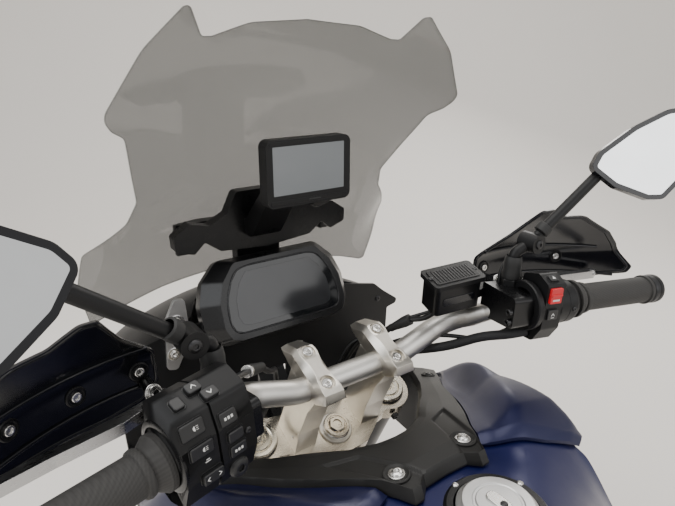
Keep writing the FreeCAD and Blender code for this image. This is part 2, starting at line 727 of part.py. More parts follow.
def mirror(name, side):
    """Post on the perch, stem, head shell and its glass."""
    place = Placement(Vector(side * 300, -99, 228), Rotation(-30 * side, 0, -20))
    foot = on_grip(side, S.post_ahead, S.perch_top, S.post_out)
    upward = grip_frame(side).Rotation.multVec(Vector(0, 1, 0))
    knuckle = Vector(side * 218, -74, 143)
    inside = place.multVec(Vector(side * 16, S.mirror_deep / 2, 4))
    route = [triple(foot + upward * (S.post_height - 10)), triple(foot + upward * 40, 10),
             triple(knuckle, 18), triple(inside)]
    post = Part.makeCylinder(S.post_radius, S.post_height, foot, upward)
    barrel = Part.makeCylinder(12, 24, knuckle - Vector(0, 12, 0), Vector(0, 1, 0))
    shape = swept(route, S.mirror_stem).fuse([post, barrel])
    stem = solid_feature("mirror_stem_solid_" + name, shape, BAR)
    frame = BAR.multiply(place)
    rim = [(-10, 2, 10), (2, 22, 20), (48, 53, 60), (98, 76, 40), (150, 66, 24), (168, 38, 18),
           (110, -12, 30), (82, -38, 12), (62, -38, 12), (20, -22, 20)]
    opening = mirrored(shrunk(rim, S.mirror_rim), side)
    shell = new_body("mirror_shell_" + name, frame)
    pad(shell, "XZ", mirrored(rim, side), 10, 0)
    loft(shell, "XZ", [(10, mirrored(rim, side)),
                       (S.mirror_deep, mirrored(shrunk(rim, 16), side))])
    pocket(shell, "XZ", opening, "mirror_glass")
    glass = new_body("mirror_glass_" + name, frame)
    pad(glass, "XZ", opening, "mirror_glass")
    keep(cut("mirror_stem_" + name, stem, shell), shell, glass)


def guard_level(across, up):
    """How far ahead the guard's skin is: it sweeps back outboard and leans back at its top."""
    sweep = 119 * (max(abs(across) - 216, 0) / 229) ** 2.2
    lean = 0.75 * max(up - 95, 0)
    return 14 - sweep - lean


def handguard(name, side):
    edge = [(222, 62, 6), (224, 96, 8), (257, 129, 14), (279, 166, 8), (294, 168, 12),
            (318, 154, 14), (346, 154, 20), (392, 127, 30), (412, 106, 20), (436, 70, 6),
            (432, 60, 6), (360, 44, 40), (277, 38, 20), (240, 44, 10)]
    ends = (200, 450, 14) if side > 0 else (-450, -200, 14)
    skin = curved_sheet(guard_level, ends, (20, 180, 17), "Y", S.guard_thick)
    guard = panel("handguard_" + name, skin, "XZ", mirrored(edge, side), -200, 400, BAR)
    keep(guard)
    return guard


def guard_arm(name, side, perch, guard):
    """Arm from the perch's front to the guard's inner face."""
    middle = (S.perch_left + S.perch_left_end) / 2 if side < 0 else 0
    start = on_grip(side, S.perch_front - 8, -4, middle)
    inside = guard_level(236, 66) + S.guard_thick / 2
    route = [triple(start), (side * 214, -36, 68, 12), (side * 236, -14, 66, 10),
             (side * 236, inside, 66, 0)]
    rod = solid_feature("guard_rod_" + name, swept(route, 6), BAR)
    keep(cut("guard_arm_" + name, cut("guard_rod_end_" + name, rod, perch), guard))


# Bodywork


def screen_level(across, up):
    """Windscreen surface: leans back as it rises, bows round, and flares at its lower sides."""
    bowed = 356.5 - 0.722 * up + 0.0001 * up * up - across * across / 712
    if abs(across) <= 170 or not 0 < up < 260:
        return bowed
    return bowed + 53 * math.sin(math.pi * up / 260) * ((abs(across) - 170) / 70) ** 2


def windscreen():
    half = [(0, 396, 0), (70, 391, 60), (114, 377, 12), (127, 376.5, 6), (147, 405, 7),
            (191, 364, 60), (229, 304, 14), (218, 290, 10), (203, 281, 12), (180, 198, 16),
            (190, 170, 20), (236, 126, 16), (243, 70, 60), (231, 11, 8), (190, 22, 20),
            (120, 30, 30), (0, 34, 0)]
    skin = curved_sheet(screen_level, (-260, 260, 21), (0, 420, 17), "Y", S.screen_thick)
    screen = panel("windscreen", skin, "XZ", both_halves(half), -100, 600, BAR)
    keep(screen)
    return screen


def cowl_level(across, ahead):
    """Top of the nose cowl, falling outward and forward."""
    outward = 67 * (across / 220) ** 2
    forward = 0.0016 * max(ahead - 200, 0) ** 2
    return 42 - outward - forward


def nose_cowl():
    """Cowl that runs ahead from the dash panel."""
    back = S.stay_back
    half = [(0, 256, 0), (92, 256, 10), (118, back, 6), (252, back, 3), (240, 290, 40),
            (140, 392, 50), (0, 412, 0)]
    skin = curved_sheet(cowl_level, (-270, 270, 15), (130, 430, 13), "Z", S.cowl_thick)
    keep(panel("nose_cowl", skin, "XY", both_halves(half), -300, 500, BAR))


def headlamp(name, side):
    """Lamp unit under the cowl, bolted to the front of the stay's beam."""
    body = new_body("headlamp_" + name, BAR)
    face = [(26, -64, 12), (112, -56, 16), (122, -28, 12), (112, -12, 8), (26, -12, 6)]
    pad(body, "XZ", mirrored(face, side), 104, S.stay_back + 18)
    keep(body)


def dash_frame():
    return BAR.multiply(Placement(Vector(0, *DASH), Rotation(Vector(1, 0, 0), -S.dash_tilt)))


GLASS = [(0, 43, 0), (58, 43, 6), (72, 27, 4), (83, 2, 8), (85, -26, 8), (80, -38, 5), (70, -42, 5),
         (0, -42, 0)]
BEZEL = [(0, 51, 0), (64, 51, 12), (84, 28, 10), (94, 2, 14), (95, -32, 14), (88, -48, 8),
         (74, -52, 8), (0, -52, 0)]
HOOD = [(0, 59, 0), (78, 59, 16), (104, 34, 14), (114, 4, 18), (114, -30, 18), (104, -50, 10),
        (88, -56, 10), (0, -56, 0)]


def display():
    frame = dash_frame()
    housing = new_body("display_housing", frame)
    loft(housing, "XZ", [(0, both_halves(BEZEL)), (24, both_halves(HOOD))])
    pad(housing, "XZ", both_halves(HOOD), "dash_deep - 24", 24)
    pocket(housing, "XZ", both_halves(GLASS), "glass_thick")
    glass = new_body("display_glass", frame)
    pad(glass, "XZ", both_halves(GLASS), "glass_thick")
    keep(housing, glass)


def navigation():
    frame = BAR.multiply(Placement(Vector(2, 88, 229), Rotation()))
    wide = S.nav_width / 2
    tall = S.nav_height / 2
    case = new_body("nav_case", frame)
    pad(case, "XZ", [(-wide, -tall), (wide, -tall), (wide, tall), (-wide, tall)], "nav_thick", 0, 9)
    screen = [(-50, -25), (49, -25), (49, 32), (-50, 32)]
    pocket(case, "XZ", screen, 1, 0, 1)
    glass = new_body("nav_screen", frame)
    pad(glass, "XZ", screen, 1, 0, 1)
    arm = new_body("nav_arm", BAR)
    rear = 88 + S.nav_thick
    side_view = [(rear, 208), (rear, 246), (rear + 9, 246), (rear + 16, 222), (196, 150, 8),
                 (216, 150), (216, 128), (180, 128, 8), (rear + 9, 206)]
    pad(arm, "YZ", side_view, 44, -34)
    keep(case, glass, arm)
    return arm


def screen_bracket(screen, nav_arm):
    """Crossbar against the windscreen, its cheek plate, and the post that joins it to the stay."""
    bar = new_body("bracket_bar", BAR)
    plan = [(0, 216, 0), (40, 216, 8), (92, 226, 6), (122, 224, 3), (122, 232), (92, 241),
            (40, 238, 8), (0, 238, 0)]
    pad(bar, "XY", both_halves(plan), 24, 124)
    for name, side in SIDES:
        end = [(side * 104, 224, 3), (side * 122, 224, 3), (side * 122, 232), (side * 104, 236)]
        pad(bar, "XY", end, 20, 106)
    post = new_body("bracket_post", BAR)
    back = S.stay_back + S.stay_deep
    pad(post, "YZ", [(back, -10), (back + 18, -10), (back + 18, 100, 20), (236, 140),
                     (220, 140), (back, 100, 20)], 2 * 34, -34)
    cheek = new_body("bracket_cheek", BAR)
    half = [(0, 104, 0), (70, 110, 6), (92, 126, 4), (107, 112, 4), (132, 120, 5), (133, 139, 4),
            (110, 154, 6), (84, 147, 6), (58, 160, 6), (44, 188, 8), (0, 188, 0)]
    pad(cheek, "XZ", both_halves(half), "cheek_thick", 200)
    solid = joined("bracket_solid", [bar, post, cheek])
    keep(cut("screen_bracket", cut("bracket_clear", solid, screen), nav_arm))


def screen_plate():
    """Bright plate on the rear of the dash panel, beside the display's left end."""
    body = new_body("screen_plate_left", BAR)
    outline = [(-128, 56, 6), (-142, 58, 6), (-156, 30, 6), (-160, -40, 6), (-146, -44, 6),
               (-124, -2, 6)]
    pad(body, "XZ", outline, "panel_thick", S.stay_back - 2 * S.panel_thick)
    keep(body)


# Tank


def cover_level(across, ahead):
    """Top of the cover round the yoke."""
    return -24 - 0.25 * max(ahead + 138, 0) - 0.0007 * across * across


def tank_level(across, ahead):
    """Top of the tank: under the cover, up to a ridge on each side, down to the rear."""
    out = abs(across)
    seam = 84 + 0.62 * (ahead + 140)
    rise = math.sin(math.pi / 2 * min(max((out - seam) / 60, 0), 1)) ** 2
    fade = max(1 - (max(-70 - ahead, 0) / 108) ** 2, 0)
    ridge = (30 + 0.25 * max(ahead + 60, 0)) * rise * fade
    edge = 0.05 * max(out - 200 - 0.12 * max(ahead + 60, 0), 0) ** 2
    back = min(max((-170 - ahead) / 110, 0), 1)
    shoulder = 37 * (1 - math.cos(math.pi * back)) * (out / 185) ** 2
    tail = 0.0016 * max(-260 - ahead, 0) ** 2
    level = cover_level(across, ahead) - S.cover_thick - S.seat_gap
    return level + ridge - edge - shoulder - tail


def tank():
    """Tank over the frame, with a tunnel for the tubes and a recess for the filler."""
    half = [(0, -440, 0), (80, -440, 40), (150, -345, 60), (196, -250, 60), (194, -200, 20),
            (170, -150, 20), (168, -44, 16), (150, -30, 10), (96, -66, 14), (70, -96, 14), (0, -96, 0)]
    skin = curved_sheet(tank_level, (-240, 240, 21), (-460, 0, 21), "Z", 400)
    block = panel("tank_block", skin, "XY", both_halves(half), S.tank_foot - 70, 300, BAR)
    tunnel = new_body("tank_tunnel", BAR)
    pad(tunnel, "XZ", [(-128, S.tank_foot - 80), (128, S.tank_foot - 80), (128, S.tank_foot - 4, 30),
                       (100, S.tank_foot), (-100, S.tank_foot), (-128, S.tank_foot - 4, 30)],
        500, -460)
    recess = new_body("filler_recess", filler_frame())
    pad(recess, "XY", (0, 0, S.filler_out), 60, S.filler_top - S.filler_deep)
    keep(cut("tank", block, joined("tank_tools", [tunnel, recess])))


def shell_level(across, ahead):
    """Outer face of the side shell, which lies on the tank."""
    return tank_level(across, ahead) + S.shell_gap + S.shell_thick


# Seam along the cover and outer edge of a side shell, from the rear to the front
SHELL_SEAM = [(72, -147), (88, -121), (114, -88), (140, -51), (163, -9), (192, 26), (227, 66),
              (225, 102)]
SHELL_EDGE = [(190, -192), (214, -179), (233, -142), (242, -96), (246, -30), (246, 14), (245, 60),
              (238, 104)]


def between(points):
    """The points with one more halfway along each stretch."""
    fuller = [points[0]]
    for before, here in zip(points, points[1:]):
        fuller += [((before[0] + here[0]) / 2, (before[1] + here[1]) / 2), here]
    return fuller


def side_shell(name, side):
    """Skin between its two edges, with the tank's own curve and an even depth."""
    sections = []
    for seam, edge in zip(between(SHELL_SEAM), between(SHELL_EDGE)):
        top = []
        for share in spaced(0, 1, 9):
            across = seam[0] + share * (edge[0] - seam[0])
            ahead = seam[1] + share * (edge[1] - seam[1])
            top.append(Vector(side * across, ahead, shell_level(across, ahead)))
        low = [point - Vector(0, 0, S.shell_thick) for point in reversed(top)]
        sections.append(Part.makePolygon(top + low + top[:1]))
    shape = Part.makeLoft(sections, True, True)
    keep(solid_feature("side_shell_" + name, shape, BAR))


def tank_cover():
    half = [(0, -162, 0), (30, -163, 6), (42, -174, 4), (52, -173, 3), (58, -158, 4),
            (76, -129, 12), (104, -96, 20), (134, -54, 20), (160, -8, 20), (224, 66, 8),
            (217, 93, 6), (199, 113, 6), (142, 30, 10), (105, -11, 20), (74, -40, 14),
            (52, -62, 10), (24, -76, 8), (0, -80, 0)]
    skin = curved_sheet(cover_level, (-240, 240, 13), (-190, 130, 13), "Z", S.cover_thick)
    keep(panel("tank_cover", skin, "XY", both_halves(half), -200, 240, BAR))


def filler_frame():
    return BAR.multiply(Placement(Vector(0, -S.filler_behind, 0), Rotation()))


def filler():
    frame = filler_frame()
    ring_part = new_body("filler_ring", frame)
    top = S.filler_top
    foot = top - S.filler_deep
    turn(ring_part, [(S.cap_out + 2, foot), (S.filler_out, foot), (S.filler_out, top - 3),
                     (S.filler_out - 3, top), (S.cap_out + 2, top)])
    cap = new_body("filler_cap", frame)
    turn(cap, [(0, foot), (S.cap_out, foot), (S.cap_out, top + 2), (S.cap_out - 5, top + 6),
               (0, top + 6)])
    keep(ring_part, cap)


# Hoses and looms


def cord(points):
    """Route with the largest arcs that its runs leave room for."""
    places = [Vector(*p) for p in points]
    route = [triple(places[0])]
    for before, here, after in zip(places, places[1:], places[2:]):
        back = before - here
        ahead = after - here
        half = back.getAngle(ahead) / 2
        radius = 0.45 * min(back.Length, ahead.Length) * math.tan(half)
        route.append(triple(here, radius))
    route.append(triple(places[-1]))
    return route


def cables():
    """Hoses and looms that the steering carries all the way."""
    cup = RESERVOIR.multVec(Vector(-10, 0, -RESERVOIR_DEEP))
    routes = (
        ("brake_hose", S.hose_radius,
         [cup, (113, -8, 42), (100, 22, 32), (84, 44, 6), steer_point(66, 60, -34),
          steer_point(54, 60, -80), steer_point(50, 58, -125)]),
        ("clutch_hose", S.hose_radius,
         [on_grip(-1, 34, 0, S.perch_left), (-172, -38, 68), (-144, -10, 54), (-112, 20, 36),
          (-84, 46, 6), steer_point(-66, 60, -34), steer_point(-54, 60, -80),
          steer_point(-50, 58, -125)]),
        ("loom_right", S.loom_radius,
         [on_grip(1, -4, -34, S.pod_right), (178, -86, 34), (162, -58, 24), (140, -22, 0),
          (106, 20, -15), (82, 44, -24), steer_point(58, 42, -70), steer_point(42, 44, -110),
          steer_point(36, 44, -150)]),
        ("loom_left", S.loom_radius,
         [on_grip(-1, -4, -34, S.pod_left), (-174, -84, 34), (-162, -58, 24), (-140, -22, 0),
          (-106, 20, -15), (-82, 44, -24), steer_point(-58, 42, -70), steer_point(-42, 44, -110),
          steer_point(-36, 44, -150)]),
    )
    for label, radius, points in routes:
        keep(solid_feature(label, swept(cord(points), radius), BAR))


front_frame()
dash_stay()
dash_panel()
steering_stem()
yokes()
bar_part = handlebar()
keep(bar_part)
for name, side in SIDES:
    fork_leg(name, side)
    bar_clamp(name, side)
    grip(name, side)
    perch_part = controls(name, side, bar_part)
    mirror(name, side)
    guard_part = handguard(name, side)
    guard_arm(name, side, perch_part, guard_part)
    headlamp(name, side)
    side_shell(name, side)
reservoir(perch_part)
screen_part = windscreen()
nose_cowl()
display()
screen_bracket(screen_part, navigation())
screen_plate()
tank()
tank_cover()
filler()
cables()

doc.recompute()

problems = []
for item in doc.Objects:
    if "Invalid" in item.State or "Error" in item.State:
        problems.append("%s: %s" % (item.Label, item.State))
for item in parts:
    if item.Shape.isNull() or not item.Shape.isValid():
        problems.append("%s has no valid shape" % item.Label)
if problems:
    raise RuntimeError("; ".join(problems))

os.makedirs("parts", exist_ok=True)
for item in parts:
    item.Shape.exportStep("parts/%s.step" % item.Label)
    print("%-22s %2d solids %10.0f mm3" % (item.Label, len(item.Shape.Solids), item.Shape.Volume))
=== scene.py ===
import math

import bmesh
import bpy
from mathutils import Matrix, Vector
from mathutils.bvhtree import BVHTree


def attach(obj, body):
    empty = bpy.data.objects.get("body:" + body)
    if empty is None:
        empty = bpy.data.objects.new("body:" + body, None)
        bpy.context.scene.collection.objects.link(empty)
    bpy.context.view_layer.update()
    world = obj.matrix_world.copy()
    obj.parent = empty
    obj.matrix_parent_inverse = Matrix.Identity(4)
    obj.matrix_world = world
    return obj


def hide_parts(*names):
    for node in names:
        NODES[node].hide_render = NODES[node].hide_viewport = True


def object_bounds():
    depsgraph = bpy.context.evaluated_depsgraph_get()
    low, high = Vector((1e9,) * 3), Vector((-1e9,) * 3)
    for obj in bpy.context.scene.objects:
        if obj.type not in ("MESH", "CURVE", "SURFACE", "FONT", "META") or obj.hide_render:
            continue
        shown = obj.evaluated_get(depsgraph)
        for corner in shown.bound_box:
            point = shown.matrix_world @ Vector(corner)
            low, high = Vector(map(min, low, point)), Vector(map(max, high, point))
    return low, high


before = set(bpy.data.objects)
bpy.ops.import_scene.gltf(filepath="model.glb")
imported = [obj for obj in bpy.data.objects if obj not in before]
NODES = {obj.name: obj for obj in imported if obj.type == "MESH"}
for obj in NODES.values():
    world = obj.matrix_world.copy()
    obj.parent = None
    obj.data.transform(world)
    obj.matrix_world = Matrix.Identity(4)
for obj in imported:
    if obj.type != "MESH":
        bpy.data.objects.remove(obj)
cad_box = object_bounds()
SIDES = (("left", -1), ("right", 1))
RAKE = math.radians(25)  # of the steering axis, to the rear
SWEEP = math.radians(12.6)  # of the grips, to the rear
DROOP = math.radians(3.5)  # of the grips, down towards their ends
BAR_AHEAD, BAR_ABOVE = 180, 330  # the bar's middle, in mm from the engine bolt
GRIP_ROOT = (183.8, -92, 73.7)  # where a grip's own frame starts, in mm from the bar's middle
TO_REAR, TO_FRONT = (0, -1, 0), (0, 1, 0)


# Places, given in mm from the middle of the handlebar


def at(x, y, z):
    """A point to the right of, ahead of and above the bar's middle."""
    return Vector((x, y + BAR_AHEAD, z + BAR_ABOVE)) / 1000


def steer(x, ahead, up):
    """A point of the steering, which leans back with its axis."""
    lean, rise = math.cos(RAKE), math.sin(RAKE)
    return at(x, ahead * lean - up * rise, ahead * rise + up * lean)


def grip_axes(side):
    """Ahead, up and out along one grip."""
    out = Vector((side * math.cos(SWEEP) * math.cos(DROOP), -math.sin(SWEEP) * math.cos(DROOP),
                  -math.sin(DROOP)))
    ahead = side * Vector((0, 0, 1)).cross(out).normalized()
    return ahead, side * out.cross(ahead), out


def on_grip(side, ahead, above, out):
    """A point of one grip's own frame."""
    axes = grip_axes(side)
    shift = axes[0] * ahead + axes[1] * above + axes[2] * out
    return at(side * GRIP_ROOT[0], *GRIP_ROOT[1:]) + shift / 1000


def looking(origin, facing, across=(1, 0, 0)):
    """Place whose Z faces one way and whose X runs as near to across as it can."""
    z = Vector(facing).normalized()
    x = Vector(across)
    if abs(x.normalized().dot(z)) > 0.98:
        x = Vector((0, 1, 0))
    y = z.cross(x).normalized()
    x = y.cross(z)
    place = Matrix((x, y, z)).transposed().to_4x4()
    place.translation = origin
    return place


def tilted(origin, *turns):
    """Place turned by degrees about one axis after another."""
    turn = Matrix.Identity(3)
    for degrees, axis in turns:
        turn = turn @ Matrix.Rotation(math.radians(degrees), 3, axis)
    return Matrix.LocRotScale(origin, turn, None)


def shifted(place, x=0, y=0, z=0):
    """Place moved along its own axes."""
    return place @ Matrix.Translation((x / 1000, y / 1000, z / 1000))


def facet(side, start, end, share, out):
    """Place on a pod's face between two points of its outline (ahead, above)."""
    ahead, up, along = grip_axes(side)
    run = ahead * (end[0] - start[0]) + up * (end[1] - start[1])
    spot = (start[0] + share * (end[0] - start[0]), start[1] + share * (end[1] - start[1]))
    x = along * side
    return looking(on_grip(side, *spot, out), x.cross(run), x)


trees = {}  # of each piece that carries others, by its name


def seated(carrier, point, direction, across=(1, 0, 0)):
    """Place where a line from the point meets what carries it, facing out of its surface."""
    if carrier.name not in trees:
        data = carrier.data
        trees[carrier.name] = BVHTree.FromPolygons([v.co for v in data.vertices],
                                                   [p.vertices for p in data.polygons])
    direction = Vector(direction).normalized()
    spot, normal = trees[carrier.name].ray_cast(point, direction)[:2]
    if spot is None:
        spot, normal = trees[carrier.name].find_nearest(point)[:2]
    if normal.dot(direction) > 0:
        normal = -normal
    return looking(spot, normal, across)


# Finishes


class Tone:
    """A value that changes over a surface: an output of a finish's nodes."""

    def __init__(self, finish, socket):
        self.finish = finish
        self.socket = socket

    def worked(self, operation, first, second=0.0):
        """One Math node on two values."""
        return self.finish.node("ShaderNodeMath", {"operation": operation}, {0: first, 1: second})

    def __add__(self, other):
        return self.worked("ADD", self, other)

    def __sub__(self, other):
        return self.worked("SUBTRACT", self, other)

    def __rsub__(self, other):
        return self.worked("SUBTRACT", other, self)

    def __mul__(self, other):
        return self.worked("MULTIPLY", self, other)

    def wave(self):
        return self.worked("SINE", self)

    def held(self):
        """The value, kept between 0 and 1."""
        return self.finish.node("ShaderNodeClamp", {}, {"Value": self})

    __radd__ = __add__
    __rmul__ = __mul__


MIX_SHARE, MIX_FIRST, MIX_SECOND, MIX_COLOR = 0, 6, 7, 2  # sockets of a Mix node set to colour


class Finish:
    """One material, built up from expressions."""

    def __init__(self, name, color, roughness, metallic=0.0, **fixed):
        self.material = bpy.data.materials.new(name)
        self.material.use_nodes = True
        self.tree = self.material.node_tree
        self.shader = self.tree.nodes["Principled BSDF"]
        self.put("Base Color", color)
        self.put("Roughness", roughness)
        self.put("Metallic", metallic)
        for socket, value in fixed.items():
            self.put(socket.replace("_", " "), value)
        self.place = self.node("ShaderNodeTexCoord", output="Object")

    def node(self, kind, settings=None, values=None, output=0):
        """New node: its settings first, then the values or links of its sockets."""
        made = self.tree.nodes.new(kind)
        for name, value in (settings or {}).items():
            setattr(made, name, value)
        for key, value in (values or {}).items():
            self.join(made.inputs[key], value)
        return Tone(self, made.outputs[output])

    def join(self, socket, value):
        if isinstance(value, Tone):
            self.tree.links.new(value.socket, socket)
        elif isinstance(value, tuple) and len(value) == 3 and socket.type == "RGBA":
            socket.default_value = (*value, 1.0)
        else:
            socket.default_value = value

    def put(self, socket, value):
        self.join(self.shader.inputs[socket], value)

    def noise(self, scale, detail=3.0, place=None):
        return self.node("ShaderNodeTexNoise", {}, {"Vector": place or self.place, "Scale": scale,
                                                    "Detail": detail})

    def cells(self, scale):
        return self.node("ShaderNodeTexVoronoi", {}, {"Vector": self.place, "Scale": scale})

    def stretched(self, factors):
        """The place, drawn out so that a noise runs in streaks."""
        return self.node("ShaderNodeVectorMath", {"operation": "MULTIPLY"},
                         {0: self.place, 1: factors})

    def along(self, direction):
        """How far a point is along a direction, in metres."""
        return self.node("ShaderNodeVectorMath", {"operation": "DOT_PRODUCT"},
                         {0: self.place, 1: tuple(direction)}, output="Value")

    def blended(self, share, first, second):
        """The first colour, going over to the second where the share nears 1."""
        return self.node("ShaderNodeMix", {"data_type": "RGBA"},
                         {MIX_SHARE: share, MIX_FIRST: first, MIX_SECOND: second}, MIX_COLOR)

    def softened(self, radius=0.0006):
        """Normal with its edges rounded off."""
        return self.node("ShaderNodeBevel", {"samples": 4}, {"Radius": radius})

    def edges(self, radius=0.0012):
        """1 on sharp edges, 0 on open faces."""
        open_face = self.node("ShaderNodeNewGeometry", output="Normal")
        facing = self.node("ShaderNodeVectorMath", {"operation": "DOT_PRODUCT"},
                           {0: self.softened(radius), 1: open_face}, output="Value")
        return ((1 - facing) * 5).held()

    def relief(self, height, strength, distance, radius=0.0006):
        """Fine unevenness, over edges that are rounded off."""
        made = self.node("ShaderNodeBump", {}, {"Height": height, "Strength": strength,
                                                "Distance": distance,
                                                "Normal": self.softened(radius)})
        self.put("Normal", made)


GRAIN_DEPTH = 0.0002  # in metres


def shade(color, factor):
    """A colour made darker or lighter."""
    return tuple(min(part * factor, 1.0) for part in color)


def moulded(name, color, roughness, grain=0.25, size=1100, worn_and_highlit=2.2, **fixed):
    """Plastic or rubber with moulded grain, a little dust, edges paled by wear and painted
    highlight.
    """
    made = Finish(name, color, roughness, **fixed)
    cloud = made.noise(16, 4)
    fine = made.noise(size, 2)
    base = made.blended(cloud, shade(color, 0.75), shade(color, 1.3))
    # Edges paled: partly rubbed wear, partly a painted highlight along them.
    made.put("Base Color", made.blended(made.edges() * 0.35, base, shade(color, worn_and_highlit)))
    made.put("Roughness", (roughness - 0.08 + cloud * 0.14 + fine * 0.05).held())
    made.relief(fine, grain, GRAIN_DEPTH)
    return made.material


def machined(name, color, roughness, streak=(60, 900, 60), depth=0.06, **fixed):
    """Bare or clear-anodised metal with fine tool streaks and a painted highlight on its edges."""
    made = Finish(name, color, roughness, 1.0, **fixed)
    streaks = made.noise(1.0, 3, made.stretched(streak))
    cloud = made.noise(22, 3)
    base = made.blended(cloud * 0.6 + streaks * 0.4, shade(color, 0.84), shade(color, 1.12))
    # Edges painted brighter: a painted highlight where light catches them.
    made.put("Base Color", made.blended(made.edges(0.0009) * 0.5, base, shade(color, 1.35)))
    made.put("Roughness", (roughness - 0.09 + streaks * 0.12 + cloud * 0.08).held())
    made.relief(streaks, depth, GRAIN_DEPTH, 0.0005)
    return made.material


def painted(name, color, roughness, flake=0.5, coat=0.6):
    """Satin metallic paint under a clear coat."""
    made = Finish(name, color, roughness, 0.45, Coat_Roughness=0.22)
    flakes = made.cells(2600)
    cloud = made.noise(6, 3)
    base = made.blended(cloud, shade(color, 0.8), shade(color, 1.2))
    made.put("Base Color", made.blended(flakes * flake * 0.3, base, shade(color, 3.2)))
    made.put("Roughness", (roughness - 0.06 + made.noise(40, 4) * 0.12).held())
    made.put("Coat Weight", coat)
    made.relief(made.noise(500, 2), 0.04, 0.0001)
    return made.material


RIB_PITCH, CUT_PITCH = 0.0024, 0.003


def ribbed_rubber(name, side):
    """Grip rubber: fine ribs round the grip, crossed by a faint diamond cut."""
    _, up, out = grip_axes(side)
    made = Finish(name, (0.03, 0.029, 0.027), 0.68)
    run = made.along(out)
    rings = (run * (2 * math.pi / RIB_PITCH)).wave()
    across = made.along(up) * (2 * math.pi / CUT_PITCH)
    cut = (across + run * (2 * math.pi / (2 * CUT_PITCH))).wave()
    cloud = made.noise(30, 4)
    base = made.blended(cloud, (0.02, 0.019, 0.018), (0.042, 0.04, 0.038))
    made.put("Base Color", made.blended((cut * 0.5 + 0.5) * 0.35, base, (0.055, 0.053, 0.05)))
    made.put("Roughness", (0.62 + cloud * 0.2).held())
    made.relief(rings * 0.6 + cut * 0.4, 0.22, 0.0004)
    return made.material


def braided(name, color):
    """Woven sleeve of a loom."""
    made = Finish(name, color, roughness=0.6)
    weave = made.cells(700)
    made.put("Base Color", made.blended(weave, shade(color, 0.5), shade(color, 1.8)))
    made.put("Roughness", (0.5 + weave * 0.3).held())
    made.relief(weave, 0.6, 0.0006)
    return made.material


def smoked_screen():
    """Grey see-through plastic: each face takes part of the light, with faint streaks of dust."""
    made = Finish("smoked screen", (0.13, 0.135, 0.125), 0.05, IOR=1.49)
    cloud = made.noise(1.0, 5, made.stretched((7, 7, 3)))
    dust = made.noise(60, 5)
    rim = made.edges(0.0022)
    made.put("Base Color", made.blended((cloud * 1.3 - 0.25).held(), (0.045, 0.047, 0.043),
                                        (0.12, 0.124, 0.114)))
    made.put("Roughness", (0.03 + dust * 0.05).held())
    # The rim is painted more opaque, so it reads darker: painted shade for looking through the
    # sheet's edge.
    made.put("Alpha", (0.48 + rim * 0.38 + dust * 0.02 + cloud * 0.05).held())
    made.material.surface_render_method = "BLENDED"
    return made.material


def glassy(name, low, high, roughness, run, scale=4.0):
    """Smooth face whose tone drifts across it, as a dark or a switched-off screen shows."""
    made = Finish(name, low, roughness, IOR=1.5)
    drift = made.noise(scale, 2, made.stretched(run))
    made.put("Base Color", made.blended(drift, low, high))
    made.put("Roughness", (roughness + made.noise(90, 5) * 0.05).held())
    made.relief(made.noise(300, 2), 0.01, 0.0001)
    return made.material


def silvered():
    """Mirror glass with a little haze."""
    made = Finish("mirror glass", (0.82, 0.84, 0.85), 0.02, 1.0)
    haze = made.noise(24, 5)
    made.put("Base Color", made.blended(haze, (0.76, 0.78, 0.79), (0.86, 0.88, 0.89)))
    made.put("Roughness", (0.015 + haze * 0.03).held())
    return made.material


BLACK = moulded("black plastic", (0.0065, 0.0065, 0.007), 0.42, Specular_IOR_Level=0.3)
SATIN_BLACK = moulded("satin black plastic", (0.0045, 0.0045, 0.005), 0.27, 0.12, 1500,
                       Specular_IOR_Level=0.34)
GLOSS_BLACK = moulded("gloss black plastic", (0.004, 0.0042, 0.006), 0.12, 0.05, 500, 3.0)
GUARD_BLACK = moulded("handguard plastic", (0.0035, 0.0038, 0.006), 0.15, 0.08, 260, 3.0)
COVER_GREY = moulded("tank cover plastic", (0.015, 0.0145, 0.0137), 0.46, 0.4, 1400, 1.9,
                     Specular_IOR_Level=0.35)
BUTTON = moulded("button plastic", (0.013, 0.013, 0.0135), 0.38, 0.15, 1600, 2.6)
RED = moulded("red switch plastic", (0.62, 0.012, 0.02), 0.24, 0.05, 900, 1.4)
LEGEND = moulded("legend paint", (0.72, 0.72, 0.70), 0.45, 0.05, 900, 1.0)
RUBBER = moulded("black rubber", (0.012, 0.012, 0.012), 0.58, 0.3, 1300, 1.6)
BAR_SILVER = machined("handlebar alloy", (0.72, 0.70, 0.665), 0.42, (24, 300, 300), 0.03)
CLAMP_ALLOY = machined("machined clamp alloy", (0.70, 0.665, 0.60), 0.30, (500, 60, 60), 0.12)
YOKE_ALLOY = machined("yoke alloy", (0.66, 0.60, 0.50), 0.25, (60, 360, 60), 0.015)
CAP_GOLD = machined("fork cap alloy", (0.74, 0.69, 0.58), 0.22, (40, 40, 40), 0.004)
LEVER_ALLOY = machined("lever alloy", (0.50, 0.50, 0.50), 0.28, (60, 600, 600), 0.05)
BRIGHT = machined("bright steel", (0.72, 0.71, 0.69), 0.22, (60, 60, 60), 0.004)
PLATE_ALLOY = machined("plate alloy", (0.66, 0.66, 0.66), 0.38, (60, 60, 700), 0.10)
DARK_STEEL = machined("black zinc steel", (0.06, 0.06, 0.062), 0.38, (200, 200, 200), 0.08)
FRAME_BLACK = painted("frame paint", (0.018, 0.018, 0.019), 0.36, 0.2, 0.3)
BLUE = painted("tank paint", (0.005, 0.008, 0.062), 0.36, 0.55, 0.45)
SHELL_BLUE = painted("side shell plastic", (0.0055, 0.0075, 0.045), 0.42, 0.35, 0.2)
SCREEN = smoked_screen()
DISPLAY = glassy("display glass", (0.004, 0.0045, 0.005), (0.012, 0.013, 0.015), 0.05, (1, 1, 1))
